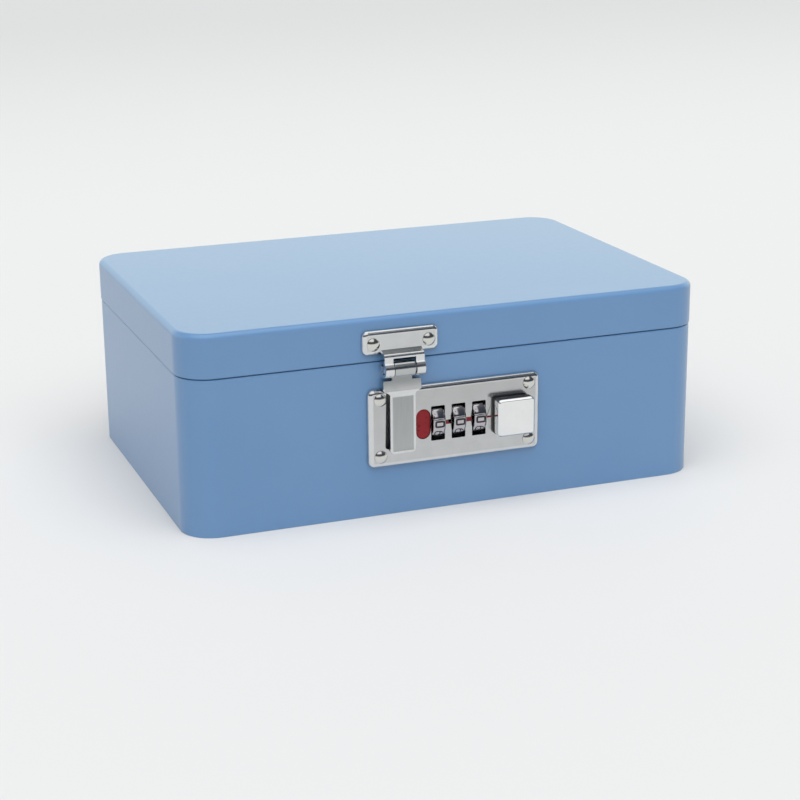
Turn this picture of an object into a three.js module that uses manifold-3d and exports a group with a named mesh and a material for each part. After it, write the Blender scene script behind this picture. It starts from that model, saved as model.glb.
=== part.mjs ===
// A tinplate lock box with a hinged lid, a riveted hasp and a three-wheel combination lock.
// Millimetres, +Z up, +X to the right of the front, -Y out of the front.
// The origin is the middle of the base, on the surface that the box stands on.

import * as THREE from 'three';
import { mergeVertices } from 'three/addons/utils/BufferGeometryUtils.js';
import Module from 'manifold-3d';

const wasm = await Module();
wasm.setup();

// Fits
const seat = 0.02; // between fixed faces that rest on each other
const runningGap = 0.15; // between a turning or sliding piece and what guides it
const shankGap = 0.1; // round a rivet's shank in its hole

// Box and lid, overall sizes taken over the lid
const boxLength = 195;
const boxWidth = 135;
const boxHeight = 72;
const sheet = 0.8;
const cornerRadius = 12;
const lidDepth = 15.5;
const lidEdgeRadius = 2;
const seamGap = 0.3;
const bodyStep = 0.2;
const hemHeight = 3.5;
const hemEdge = 0.3;
const neckHeight = 6;
const neckClearance = 0.35;
const joggleRadius = 0.4;
const baseFlange = 5;
const baseEdgeRadius = 0.9;
const baseGap = 0.05;

// Combination lock, placed by the middle of its face plate, which lies below the seam
// The sizes of the lock and its works that name a place are taken from that middle.
const lockX = -0.2;
const lockDrop = 23.85;
const plateLength = 64.2;
const plateHeight = 28.1;
const plateSheet = 0.8;
const plateFace = 2;
const plateCorner = 2;
const plateEdge = 1.3;
const lockRivetSpanX = 56.1;
const lockRivetSpanZ = 20.7;
const lockRivetHead = 2.3;
const lockRivetDome = 1.15;
const rivetShank = 1.2;
const rivetTail = 1.9;
const rivetTailHeight = 0.9;

// Number wheels on their axle
const digits = 10;
const wheelCount = 3;
const wheelPitch = 7.75;
const wheelWidth = 4.7;
const wheelAcrossFlats = 12.3;
const wheelProud = 2;
const wheelMiddleX = 1.05;
const wheelZ = -0.4;
const wheelGroove = 0.16;
const facetShare = 0.86;
const wheelChamfer = 0.3;
const windowHeight = 12.6;
const windowSideGap = 0.25;
const axleRadius = 1;
const axleBearing = 1.1;
const bearingWall = 1;
const detentSheet = 0.3;
const detentGap = 0.15;
const detentRise = 7.5;
const detentStrip = 3.5;
const detentDrop = 4;

// Code cams beside the wheels, and the fence fingers of the latch bar that pass their notches
const camHub = 1.6;
const camRadius = 2.65;
const camOffset = 1;
const camThickness = 0.9;
const notchWidth = 2.1;
const notchDepth = 1;
const fingerWidth = 0.5;
const fingerOffset = 0.2;
const fingerDepth = 0.75;

// Latch bar: one stamping that slides along X behind the face plate
const latchTravel = 2.2;
const latchThickness = 1.6;
const latchWeb = 1.6;
const boltLeft = -21.4;
const boltRiserX = -15.5;
const boltHeight = 2.2;
const riserWidth = 1.9;
const guideWidth = 1.5;
const guideSheet = 0.6;
const guideLip = 0.9;
const tabX = 17.95;
const tabWidth = 1.4;
const tabTop = -1.65;
const springOuter = 1.4;
const springWire = 0.42;
const springTurns = 5;

// Push button: chrome cap on a black base with a ramped stem
const buttonX = 20.8;
const buttonZ = -0.15;
const buttonLength = 13.6;
const buttonHeight = 13.9;
const buttonProud = 5.9;
const buttonBase = 2.1;
const buttonEdge = 0.9;
const buttonCorner = 1;
const buttonInset = 0.3;
const buttonHoleGap = 0.15;
const buttonTravel = 1.6;
const stemLeft = 14.85;
const stemHeight = 10;
const stemDepth = 4.6;
const rampGap = 0.15;
const earReach = 0.75;
const earWidth = 2.6;
const earSheet = 0.6;

// Red enamel: the oval beside the tongue and the index marks between the wheels
const ovalX = -12.2;
const ovalZ = -0.25;
const ovalWidth = 5.4;
const ovalHeight = 10.9;
const ovalSunk = 0.15;
const ovalFlange = 0.3;
const ovalFlangeDepth = 0.5;
const markHeight = 1.2;
const markDepth = 0.3;
const markGap = 0.25;

// Lock case inside the front wall
const caseSheet = 0.8;
const caseDepth = 9.6;
const caseLeft = -24;
const caseRight = 25.1;
const caseBottom = -10.85;
const caseTop = 11.75;
const caseCorner = 2;
const caseFlange = 5.2;
const openingLeft = -26.4;
const openingRight = 26;
const openingBottom = -11.05;
const openingTop = 11.75;
const buttonOpeningClear = 0.25;
const cutReach = 4; // how far the form that cuts a hole runs past the wall's face

// Hasp on the lid's skirt, with its pin ahead of the wall. Heights are taken from the seam.
const haspX = -20.3;
const haspPlateLength = 27.8;
const haspPlateBottom = 2.4;
const haspPlateTop = 11.05;
const haspFace = 1.9;
const haspEdge = 1.6;
const haspCorner = 1.9;
const haspSheet = 1.2;
const haspPinZ = -2.3;
const haspPinProud = 3.65;
const haspPinRadius = 1.5;
const haspBarrel = 2.9;
const haspWidth = 14.6;
const haspRivetSpan = 20.4;
const haspRivetZ = 6.5;
const neckProud = 5.15;
const neckBendZ = 2.15;
const neckBend = 1.3;
const neckTilt = 62;
const outerWrapEnd = 390;
const middleWrapStart = 255;
const middleKnuckle = 7.5;
const knuckleGap = 0.3;
const slotTop = 1.4;

// Tongue of the hasp and the staple on its back
const shoulderWidth = 13.9;
const shoulderTop = -6.95;
const shoulderBottom = -9.3;
const shoulderTaper = 2;
const tongueWidth = 9.5;
const tongueBottom = -33.2;
const tongueClear = 0.4;
const tongueCorner = 1.5;
const tongueBendZ = -11.2;
const panelTop = -12.45;
const panelRim = 0.85;
const panelSunk = 0.25;
const stapleThickness = 1.6;
const stapleWall = 1.4;
const stapleZ = -23.9;
const eyeClear = 0.4;
const tongueShift = -0.15; // the tongue's place in its play along the pin

// Notch in the lock's face plate behind the tongue, open at the plate's top edge
const notchX = -20.45;
const notchWide = 10.9;
const notchBottom = -7.85;
const notchRadius = 1.2;
const notchFlare = 1.8;

// Rear hinges with a stop that holds the lid leaning back
const hingeMargin = 37.5;
const hingeWidth = 24;
const hingeSheet = 0.8;
const hingePinRadius = 1;
const hingeBarrel = 1.9;
const hingePinProud = 2.3;
const hingeMiddle = 7.6;
const hingeGap = 0.3;
const leafCorner = 2;
const leafClear = 0.4;
const hingeRivetSpan = 15;
const hingeRivetHead = 1.8;
const hingeRivetDome = 0.8;
const lidOpening = 110;
const stopReach = 3.3;
const stopTabReach = 3.6;
const stopTabDrop = 2.6;

// Curve steps
const boxCornerSteps = 8;
const smallCornerSteps = 3;
const arcSteps = 5;
const roundSides = 16;
const holeSides = 12;

// Places that follow from the sizes above
const seamHeight = boxHeight - lidDepth;
const lockZ = seamHeight - lockDrop;
const frontY = -boxWidth / 2;
const rearY = boxWidth / 2;
const wallFrontY = frontY + bodyStep;
const wallInsideY = wallFrontY + sheet;
const plateFaceY = frontY - plateFace;
const plateBackY = plateFaceY + plateSheet;
const wheelY = plateFaceY - wheelProud + wheelAcrossFlats / 2;
const wheelCorner = wheelAcrossFlats / 2 / Math.cos(Math.PI / digits);
const wheelGap = wheelPitch - wheelWidth;
const haspPinY = frontY - haspPinProud;
const haspHeight = seamHeight + haspPinZ;
const haspRoll = haspBarrel - haspSheet / 2;
const tongueFace = plateFace + tongueClear + haspSheet;
const hingePinZ = seamHeight - seamGap / 2;
const hingePinY = rearY + hingePinProud;
const leafHeight = lidDepth - lidEdgeRadius;
const hingeRivetDrop = leafHeight * 2 / 3;
const latchY = wheelY;
const latchFrontY = latchY - latchThickness / 2;
const latchBackY = latchY + latchThickness / 2;
const latchWebZ = caseBottom + runningGap;
const fingerTop = wheelZ - camRadius + fingerDepth;
const boltZ = stapleZ + lockDrop;
const latchRatio = latchTravel / buttonTravel;
const caseFrontY = wallInsideY + seat;
const caseBackY = caseFrontY + caseDepth;
const caseInsideY = caseBackY - caseSheet;
const wheelXs = Array.from({ length: wheelCount }, (_, i) =>
  wheelMiddleX + (i - (wheelCount - 1) / 2) * wheelPitch);

// Materials
const metal = (color, roughness) => new THREE.MeshStandardMaterial({ color, roughness, metalness: 1 });
const solid = (color, roughness) => new THREE.MeshStandardMaterial({ color, roughness, metalness: 0 });
const materials = {
  paint: () => solid(0x7fa9d6, 0.45),
  nickel: () => metal(0xc9c7c2, 0.22),
  chrome: () => metal(0xdadcde, 0.08),
  zinc: () => metal(0x9fa2a5, 0.4),
  spring: () => metal(0x8b8d90, 0.3),
  black: () => solid(0x161618, 0.4),
  red: () => solid(0xa3202a, 0.35),
};

// Closed meshes
// Merges shared corners and drops the empty triangles at the poles of a revolved form.
function closedGeometry(source) {
  const bare = new THREE.BufferGeometry();
  bare.setAttribute('position', source.getAttribute('position').clone());
  if (source.index) bare.setIndex(source.index.clone());
  const merged = mergeVertices(bare, 1e-5);
  const index = merged.index.array;
  const kept = [];
  for (let i = 0; i < index.length; i += 3) {
    const [a, b, c] = [index[i], index[i + 1], index[i + 2]];
    if (a !== b && b !== c && c !== a) kept.push(a, b, c);
  }
  merged.setIndex(kept);
  return signedVolume(merged) < 0 ? turnedOut(merged) : merged;
}

function signedVolume(geometry) {
  const position = geometry.getAttribute('position');
  const index = geometry.index.array;
  const corner = (i) => new THREE.Vector3().fromBufferAttribute(position, index[i]);
  let volume = 0;
  for (let i = 0; i < index.length; i += 3) {
    volume += corner(i).dot(corner(i + 1).cross(corner(i + 2))) / 6;
  }
  return volume;
}

function turnedOut(geometry) {
  const index = Array.from(geometry.index.array);
  for (let i = 0; i < index.length; i += 3) {
    [index[i + 1], index[i + 2]] = [index[i + 2], index[i + 1]];
  }
  geometry.setIndex(index);
  return geometry;
}

// Joining and cutting
function manifoldOf(geometry) {
  const closed = closedGeometry(geometry);
  return new wasm.Manifold(new wasm.Mesh({
    numProp: 3,
    vertProperties: new Float32Array(closed.getAttribute('position').array),
    triVerts: new Uint32Array(closed.index.array),
  }));
}

function geometryOf(manifold) {
  const mesh = manifold.getMesh();
  const geometry = new THREE.BufferGeometry();
  geometry.setAttribute('position', new THREE.BufferAttribute(new Float32Array(mesh.vertProperties), 3));
  geometry.setIndex(new THREE.BufferAttribute(new Uint32Array(mesh.triVerts), 1));
  return geometry;
}

function shaped(first, { join = [], cut = [], within = [] }) {
  let result = manifoldOf(first);
  for (const geometry of join) result = result.add(manifoldOf(geometry));
  for (const geometry of cut) result = result.subtract(manifoldOf(geometry));
  for (const geometry of within) result = result.intersect(manifoldOf(geometry));
  return geometryOf(result);
}

// Basic forms
const unitX = new THREE.Vector3(1, 0, 0);
const unitY = new THREE.Vector3(0, 1, 0);
const unitZ = new THREE.Vector3(0, 0, 1);

function extruded(shape, depth, steps = arcSteps) {
  return new THREE.ExtrudeGeometry(shape, { depth, bevelEnabled: false, curveSegments: steps });
}

// A shape drawn in Y and Z, swept along X between two places.
function alongX(shape, fromX, toX, steps) {
  const basis = new THREE.Matrix4().makeBasis(unitY, unitZ, unitX);
  return extruded(shape, toX - fromX, steps).applyMatrix4(basis).translate(fromX, 0, 0);
}

// A shape drawn in X and Z, swept along Y between two places.
function alongY(shape, fromY, toY, steps) {
  const basis = new THREE.Matrix4().makeBasis(unitX, unitZ, unitY.clone().negate());
  return extruded(shape, toY - fromY, steps).applyMatrix4(basis).translate(0, toY, 0);
}

// A shape drawn in X and Y, swept along Z between two places.
function alongZ(shape, fromZ, toZ, steps) {
  return extruded(shape, toZ - fromZ, steps).translate(0, 0, fromZ);
}

function polygon(points) {
  return new THREE.Shape(points.map(([u, v]) => new THREE.Vector2(u, v)));
}

function rectangle(left, bottom, right, top, radius = 0) {
  const shape = new THREE.Shape();
  if (radius === 0) {
    return polygon([[left, bottom], [right, bottom], [right, top], [left, top]]);
  }
  shape.absarc(right - radius, bottom + radius, radius, -Math.PI / 2, 0);
  shape.absarc(right - radius, top - radius, radius, 0, Math.PI / 2);
  shape.absarc(left + radius, top - radius, radius, Math.PI / 2, Math.PI);
  shape.absarc(left + radius, bottom + radius, radius, Math.PI, Math.PI * 1.5);
  return shape;
}

function circle(u, v, radius) {
  const shape = new THREE.Shape();
  shape.absarc(u, v, radius, 0, Math.PI * 2);
  return shape;
}

// A round bar or hole along X or Y, given by its middle in the other two directions.
const rodX = (y, z, radius, fromX, toX, sides) => alongX(circle(y, z, radius), fromX, toX, sides);
const rodY = (x, z, radius, fromY, toY, sides) => alongY(circle(x, z, radius), fromY, toY, sides);

// One level outline of a rounded rectangle, as points that run the same way round at every size.
function roundedRing(length, width, radius, inset, height, steps) {
  const points = [];
  const r = radius - inset;
  const cornerX = length / 2 - radius;
  const cornerY = width / 2 - radius;
  const corners = [[cornerX, -cornerY], [cornerX, cornerY], [-cornerX, cornerY], [-cornerX, -cornerY]];
  corners.forEach(([x, y], quarter) => {
    for (let i = 0; i <= steps; i += 1) {
      const angle = (quarter - 1 + i / steps) * Math.PI / 2;
      points.push(new THREE.Vector3(x + r * Math.cos(angle), y + r * Math.sin(angle), height));
    }
  });
  return points;
}

// A skin over a stack of outlines: capped at both ends, or closed on itself.
function lofted(rings, closed) {
  const count = rings[0].length;
  const positions = rings.flat().flatMap((p) => [p.x, p.y, p.z]);
  const index = [];
  const bands = closed ? rings.length : rings.length - 1;
  for (let band = 0; band < bands; band += 1) {
    const lower = band * count;
    const upper = ((band + 1) % rings.length) * count;
    for (let i = 0; i < count; i += 1) {
      const next = (i + 1) % count;
      index.push(lower + i, lower + next, upper + next, lower + i, upper + next, upper + i);
    }
  }
  if (!closed) {
    const flat = rings[0].map((p) => new THREE.Vector2(p.x, p.y));
    const last = (rings.length - 1) * count;
    for (const [a, b, c] of THREE.ShapeUtils.triangulateShape(flat, [])) {
      index.push(a, c, b, last + a, last + b, last + c);
    }
  }
  const geometry = new THREE.BufferGeometry();
  geometry.setAttribute('position', new THREE.Float32BufferAttribute(positions, 3));
  geometry.setIndex(index);
  return geometry;
}

// A rounded-rectangle form from a section given as [inset, height] pairs.
function roundedForm(length, width, radius, section, { closed = false, steps = boxCornerSteps } = {}) {
  const rings = section.map(([inset, height]) => roundedRing(length, width, radius, inset, height, steps));
  return lofted(rings, closed);
}

// Points on an arc in a section, as [u, v] pairs, both ends included. Angles in degrees.
function arc(u, v, radius, from, to, steps = arcSteps) {
  return Array.from({ length: steps + 1 }, (_, i) => {
    const angle = THREE.MathUtils.degToRad(from + (to - from) * i / steps);
    return [u + radius * Math.cos(angle), v + radius * Math.sin(angle)];
  });
}

// A bent strip of sheet metal: a middle line given as [u, v] pairs, thickened to both sides.
function bentSheet(line, thickness) {
  const half = thickness / 2;
  const left = [];
  const right = [];
  line.forEach(([u, v], i) => {
    const before = line[Math.max(i - 1, 0)];
    const after = line[Math.min(i + 1, line.length - 1)];
    const here = new THREE.Vector2(u, v);
    const arriving = here.clone().sub(new THREE.Vector2(...before)).normalize();
    const leaving = new THREE.Vector2(...after).sub(here).normalize();
    const along = arriving.clone().add(leaving).normalize();
    const turn = i > 0 && i < line.length - 1 ? arriving.dot(leaving) : 1;
    const reach = half / Math.sqrt((1 + turn) / 2);
    left.push([u - along.y * reach, v + along.x * reach]);
    right.push([u + along.y * reach, v - along.x * reach]);
  });
  return polygon([...left, ...right.reverse()]);
}

// A rivet along Y with its domed head towards -Y. The head's underside lies at y = 0.
function rivet(headRadius, domeHeight, grip) {
  const dome = Array.from({ length: arcSteps }, (_, i) => {
    const angle = Math.PI / 2 * i / arcSteps;
    return new THREE.Vector2(headRadius * Math.sin(angle), -domeHeight * Math.cos(angle));
  });
  const profile = [
    ...dome,
    new THREE.Vector2(headRadius, 0),
    new THREE.Vector2(rivetShank, 0),
    new THREE.Vector2(rivetShank, grip),
    new THREE.Vector2(rivetTail, grip),
    new THREE.Vector2(rivetTail * 0.8, grip + rivetTailHeight * 0.8),
    new THREE.Vector2(0, grip + rivetTailHeight),
  ];
  return closedGeometry(new THREE.LatheGeometry(profile, roundSides));
}

// Box body: one strip of tinplate round the four sides, stepped in at the top as a neck
const neckInset = 2 * sheet + neckClearance;
const shoulderZ = seamHeight - seamGap;

function bodyShell() {
  const outside = bodyStep;
  const inside = bodyStep + sheet;
  const neckInside = neckInset + sheet;
  const neckTop = shoulderZ + neckHeight;
  const r = joggleRadius;
  const section = [
    [outside, 0],
    ...arc(outside + r, shoulderZ - r, r, 180, 90, smallCornerSteps),
    [neckInset, shoulderZ],
    ...arc(neckInset + r, neckTop - r, r, 180, 0, smallCornerSteps * 2),
    [neckInside, shoulderZ - sheet],
    [inside + r, shoulderZ - sheet],
    [inside, shoulderZ - sheet - r],
    [inside, 0],
  ];
  const strip = roundedForm(boxLength, boxWidth, cornerRadius, section, { closed: true });
  const lockCuts = [...lockOpenings(), ...lockRivetHoles(wallFrontY)].map((form) => form.translate(lockX, 0, lockZ));
  return shaped(strip, { cut: [...lockCuts, ...hingeRivetHoles(-1)] });
}

// The front wall is cut out behind the face plate, clear of the rivets in its corners.
function lockOpenings() {
  const [from, to] = [wallFrontY - 1, wallInsideY + 1];
  const coreHalf = buttonHeight / 2 + buttonInset;
  const buttonOpeningRight = buttonX + buttonLength / 2 - buttonInset + buttonOpeningClear;
  const wide = rectangle(openingLeft, openingBottom, openingRight, openingTop, 1);
  const beside = rectangle(openingRight - 2, buttonZ - coreHalf, buttonOpeningRight, buttonZ + coreHalf);
  return [alongY(wide, from, to, smallCornerSteps), alongY(beside, from, to)];
}

function lockRivetPlaces() {
  const places = [];
  for (const x of [-lockRivetSpanX / 2, lockRivetSpanX / 2]) {
    for (const z of [lockRivetSpanZ / 2, -lockRivetSpanZ / 2]) places.push([x, z]);
  }
  return places;
}

function lockRivetHoles(y) {
  return lockRivetPlaces().map(([x, z]) => rodY(x, z, rivetShank + shankGap, y - cutReach, y + cutReach, holeSides));
}

// Base: a shallow tray pressed up inside the strip, its underside level with the strip's edge
function basePlate() {
  const outline = bodyStep + sheet + baseGap;
  const [outer, inner] = [baseEdgeRadius, Math.max(baseEdgeRadius - sheet, 0.05)];
  const section = [
    ...arc(outline + outer, outer, outer, 270, 180),
    [outline, baseFlange],
    [outline + sheet, baseFlange],
    ...arc(outline + sheet + inner, sheet + inner, inner, 180, 270, 2),
  ];
  return roundedForm(boxLength, boxWidth, cornerRadius, section);
}

// Lid: a drawn pan with a rounded top edge and a hem folded in at the foot of its skirt
function lidShell() {
  const r = lidEdgeRadius;
  const hem = 2 * sheet;
  const section = [
    ...arc(r, boxHeight - r, r, 90, 180),
    ...arc(hemEdge, seamHeight + hemEdge, hemEdge, 180, 270, smallCornerSteps),
    ...arc(hem - hemEdge, seamHeight + hemEdge, hemEdge, 270, 360, smallCornerSteps),
    [hem, seamHeight + hemHeight],
    [sheet, seamHeight + hemHeight + sheet],
    ...arc(r, boxHeight - r, r - sheet, 180, 90),
  ];
  const pan = roundedForm(boxLength, boxWidth, cornerRadius, section);
  const haspHoles = haspRivetPlaces().map(([x, z]) =>
    rodY(x, seamHeight + z, rivetShank + shankGap, frontY - cutReach, frontY + cutReach, holeSides));
  return shaped(pan, { cut: [...haspHoles, ...hingeRivetHoles(1)] });
}

// Pressed face plates
// A shallow tray of sheet metal with a rounded edge, its rim on the wall and its face outwards.
function pressedPlate(length, height, corner, face, edge, thickness, rim) {
  const inner = Math.max(edge - thickness, 0.1);
  const section = [
    ...arc(edge, face - edge, edge, 90, 180),
    [0, rim],
    [thickness, rim],
    ...arc(thickness + inner, face - thickness - inner, inner, 180, 90, 2),
  ];
  const plate = roundedForm(length, height, corner, section, { steps: smallCornerSteps + 1 });
  return plate.applyMatrix4(new THREE.Matrix4().makeBasis(unitX, unitZ, unitY.clone().negate()));
}

// A form that cuts a hole through the lock's face plate.
function plateHole(shape, steps) {
  return alongY(shape, plateFaceY - cutReach, plateBackY + cutReach, steps);
}

function centred(x, z, width, height, radius) {
  return rectangle(x - width / 2, z - height / 2, x + width / 2, z + height / 2, radius);
}

function lockPlate() {
  const rim = seat - bodyStep;
  const tray = pressedPlate(plateLength, plateHeight, plateCorner, plateFace, plateEdge, plateSheet, rim)
    .translate(0, frontY, 0);
  const windows = wheelXs.map((x) =>
    plateHole(centred(x, wheelZ, wheelWidth + 2 * windowSideGap, windowHeight, 0.4), 2));
  const oval = plateHole(centred(ovalX, ovalZ, ovalWidth, ovalHeight, ovalWidth / 2));
  const holeGap = 2 * (buttonHoleGap - buttonInset);
  const buttonHole = plateHole(centred(buttonX, buttonZ, buttonLength + holeGap, buttonHeight + holeGap,
    buttonCorner), smallCornerSteps);
  const grooves = markPlaces().map(([x, width]) =>
    alongY(centred(x, wheelZ, width, markHeight), plateFaceY - 1, plateFaceY + markDepth));
  return shaped(tray, {
    cut: [...windows, oval, plateHole(tongueNotch()), buttonHole, ...grooves, ...lockRivetHoles(plateFaceY)],
  });
}

// The notch's sides flare out in a curve where they meet the plate's top edge.
function tongueNotch() {
  const [left, right, top] = [notchX - notchWide / 2, notchX + notchWide / 2, plateHeight / 2];
  const [low, high] = [notchBottom + notchRadius, top - notchFlare];
  return polygon([
    ...arc(left + notchRadius, low, notchRadius, 180, 270, smallCornerSteps),
    ...arc(right - notchRadius, low, notchRadius, 270, 360, smallCornerSteps),
    ...arc(right + notchFlare, high, notchFlare, 180, 90, smallCornerSteps),
    [right + notchFlare, top + cutReach],
    [left - notchFlare, top + cutReach],
    ...arc(left - notchFlare, high, notchFlare, 90, 0, smallCornerSteps),
  ]);
}

// Index marks lie in the bars between neighbouring windows and after the last one.
function markPlaces() {
  const window = wheelWidth + 2 * windowSideGap;
  const bar = wheelPitch - window;
  return wheelXs.map((x) => [x + wheelPitch / 2, bar - 2 * markGap]);
}

function indexMark(width) {
  const bar = centred(0, 0, width - 2 * seat, markHeight - 2 * seat);
  return alongY(bar, -markDepth + seat + ovalSunk / 3, -seat);
}

function redOval() {
  const gap = 2 * seat;
  const shape = centred(0, 0, ovalWidth - gap, ovalHeight - gap, (ovalWidth - gap) / 2);
  const flange = centred(0, 0, ovalWidth + 2 * ovalFlange, ovalHeight + 2 * ovalFlange,
    ovalWidth / 2 + ovalFlange);
  const sunk = ovalSunk;
  const back = plateSheet + seat + ovalFlangeDepth;
  return shaped(alongY(shape, sunk, back - 0.1), {
    join: [alongY(flange, plateSheet + seat, back)],
  });
}

// Number wheel: a ten-sided roller with a groove between its facets and a bore for the axle
function numberWheel() {
  const flat = wheelAcrossFlats / 2;
  const halfFacet = flat * Math.tan(Math.PI / digits) * facetShare;
  const points = [];
  for (let i = 0; i < digits; i += 1) {
    const angle = i * 2 * Math.PI / digits;
    const along = [Math.cos(angle), Math.sin(angle)];
    for (const side of [-halfFacet, halfFacet]) {
      points.push([flat * along[0] - side * along[1], flat * along[1] + side * along[0]]);
    }
    const cornerAngle = angle + Math.PI / digits;
    const grooveRadius = wheelCorner - wheelGroove * 3;
    points.push([grooveRadius * Math.cos(cornerAngle), grooveRadius * Math.sin(cornerAngle)]);
  }
  const inner = points.map(([u, v]) => {
    const radius = Math.hypot(u, v);
    const shrink = (radius - wheelChamfer) / radius;
    return [u * shrink, v * shrink];
  });
  const level = (outline, x) => outline.map(([y, z]) => new THREE.Vector3(y, z, x));
  const half = wheelWidth / 2;
  const body = lofted([
    level(inner, -half),
    level(points, -half + wheelChamfer),
    level(points, half - wheelChamfer),
    level(inner, half),
  ], false).applyMatrix4(new THREE.Matrix4().makeBasis(unitY, unitZ, unitX));
  return shaped(body, { cut: [rodX(0, 0, axleRadius + shankGap, -wheelWidth, wheelWidth, holeSides)] });
}

// Code cam: a hub and a disc with one notch, which faces down when the wheel shows its first digit
function codeCam() {
  const hub = rodX(0, 0, camHub, seat, camOffset + camThickness, roundSides);
  const disc = rodX(0, 0, camRadius, camOffset, camOffset + camThickness, roundSides);
  const notch = alongX(rectangle(-notchWidth / 2, -camRadius - 1, notchWidth / 2, -camRadius + notchDepth),
    camOffset - 0.1, camOffset + camThickness + 0.1);
  const bore = rodX(0, 0, axleRadius + shankGap, -1, camOffset + camThickness + 1, holeSides);
  return shaped(hub, { join: [disc], cut: [notch, bore] });
}

// Axle: it runs through the three wheels and into the two bearing ribs of the lock case
const axleLeft = wheelXs[0] - wheelWidth / 2 - runningGap - axleBearing;
const axleRight = wheelXs[wheelCount - 1] + wheelWidth / 2 + camOffset + camThickness + runningGap
  + axleBearing;

function wheelAxle() {
  return new THREE.CylinderGeometry(axleRadius, axleRadius, axleRight - axleLeft, roundSides)
    .rotateZ(Math.PI / 2)
    .translate((axleLeft + axleRight) / 2, 0, 0);
}

// Lock case: a pressed cover over the works, flanged to the inside of the front wall
function lockCase() {
  const outer = alongY(rectangle(caseLeft - caseSheet, caseBottom - caseSheet, caseRight + caseSheet,
    caseTop + caseSheet, caseCorner), caseFrontY, caseBackY, smallCornerSteps);
  const flangeHalf = lockRivetSpanZ / 2 + rivetTail + caseSheet;
  const flange = alongY(rectangle(caseLeft - caseFlange - caseSheet, -flangeHalf,
    caseRight + caseFlange + caseSheet, flangeHalf, caseCorner), caseFrontY, caseFrontY + caseSheet,
  smallCornerSteps);
  const hollow = alongY(rectangle(caseLeft, caseBottom, caseRight, caseTop, caseCorner - caseSheet),
    caseFrontY - 1, caseInsideY, smallCornerSteps);
  const hat = shaped(outer, { join: [flange], cut: [hollow, ...lockRivetHoles(caseFrontY)] });
  return shaped(hat, { join: latchGuides() });
}

// Hooks lanced from the case's floor: each stands behind the latch bar and folds over its top.
function latchGuides() {
  const behind = latchBackY + runningGap + guideSheet / 2;
  const ahead = latchFrontY - runningGap - guideSheet / 2;
  const above = latchWebZ + latchWeb + runningGap + guideSheet / 2;
  const line = [[behind, caseBottom - 0.1], [behind, above], [ahead, above], [ahead, above - guideLip]];
  return [wheelXs[0], wheelXs[wheelCount - 1]].map((x) =>
    alongX(bentSheet(line, guideSheet), x - guideWidth / 2, x + guideWidth / 2));
}

// Bearing rib: it stands on the case's back, clear of the fence fingers, and holds one end of the axle
function bearingRib(x) {
  const frontEdge = wheelY - axleRadius - bearingWall;
  const outline = rectangle(frontEdge, fingerTop + runningGap, caseInsideY - seat, wheelZ + 3.5, 0.5);
  return shaped(alongX(outline, x, x + axleBearing, 2), {
    cut: [rodX(wheelY, wheelZ, axleRadius + shankGap, x - 1, x + axleBearing + 1, holeSides)],
  });
}

// Detent spring: a leaf on the case's back with one finger bent forward behind each wheel
function detentSpring() {
  const stripY = caseInsideY - seat - detentSheet / 2;
  const touchY = wheelY + wheelCorner + detentGap;
  const stripBottom = wheelZ + detentRise;
  const strip = alongY(rectangle(axleLeft, stripBottom, axleRight, stripBottom + detentStrip, 0.5),
    stripY - detentSheet / 2, stripY + detentSheet / 2, 2);
  const line = [[stripY, stripBottom + 1], [stripY, stripBottom - 1], [touchY, wheelZ + 1.5],
    [touchY, wheelZ - 1.5], [stripY - 0.2, wheelZ - detentDrop]];
  const half = wheelWidth / 2 - 0.9;
  const fingers = wheelXs.map((x) => alongX(bentSheet(line, detentSheet), x - half, x + half));
  return shaped(strip, { join: fingers });
}

// Latch bar: a stamping with a bolt nose at its left, three fence fingers and a tab for the ramp
function latchBar() {
  const bottom = latchWebZ;
  const top = latchWebZ + latchWeb;
  const boltBottom = boltZ - boltHeight / 2;
  const boltTop = boltZ + boltHeight / 2;
  const fingers = wheelXs.flatMap((x) => {
    const left = x + wheelWidth / 2 + fingerOffset;
    return [[left, top], [left, fingerTop], [left + fingerWidth, fingerTop], [left + fingerWidth, top]];
  });
  const outline = polygon([
    [boltRiserX, bottom],
    [tabX + tabWidth, bottom],
    [tabX + tabWidth, tabTop],
    [tabX, tabTop],
    [tabX, top],
    ...fingers.reverse(),
    [boltRiserX + riserWidth, top],
    [boltRiserX + riserWidth, boltTop],
    [boltLeft + 0.6, boltTop],
    [boltLeft, boltTop - 0.6],
    [boltLeft, boltBottom],
    [boltRiserX, boltBottom],
  ]);
  return alongY(outline, latchFrontY, latchBackY);
}

// Latch spring: a coil between the tab and the end of the case, on the level of the axle
const springZ = tabTop - springOuter - 0.6;

function latchSpring() {
  const from = tabX + tabWidth + seat;
  const length = caseRight - from - 2 * seat;
  const radius = springOuter - springWire / 2;
  class Coil extends THREE.Curve {
    getPoint(t, target = new THREE.Vector3()) {
      const angle = t * springTurns * 2 * Math.PI;
      const x = springWire / 2 + t * (length - springWire);
      return target.set(x, radius * Math.cos(angle), radius * Math.sin(angle));
    }
  }
  const wire = new THREE.Shape();
  wire.absarc(0, 0, springWire / 2, 0, Math.PI * 2);
  const coil = new THREE.ExtrudeGeometry(wire, {
    steps: springTurns * 10, curveSegments: 3, extrudePath: new Coil(), bevelEnabled: false,
  });
  return closedGeometry(coil.translate(from, 0, 0));
}

// Push button, drawn about its own middle with y = 0 on the face plate
function buttonCap() {
  const depth = buttonProud - buttonBase;
  const section = [
    ...arc(buttonEdge, depth - buttonEdge, buttonEdge, 90, 180),
    [0, 0],
  ];
  const cap = roundedForm(buttonLength, buttonHeight, buttonCorner, section, { steps: smallCornerSteps + 1 });
  return cap.applyMatrix4(new THREE.Matrix4().makeBasis(unitX, unitZ, unitY.clone().negate()))
    .translate(0, -buttonBase, 0);
}

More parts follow.
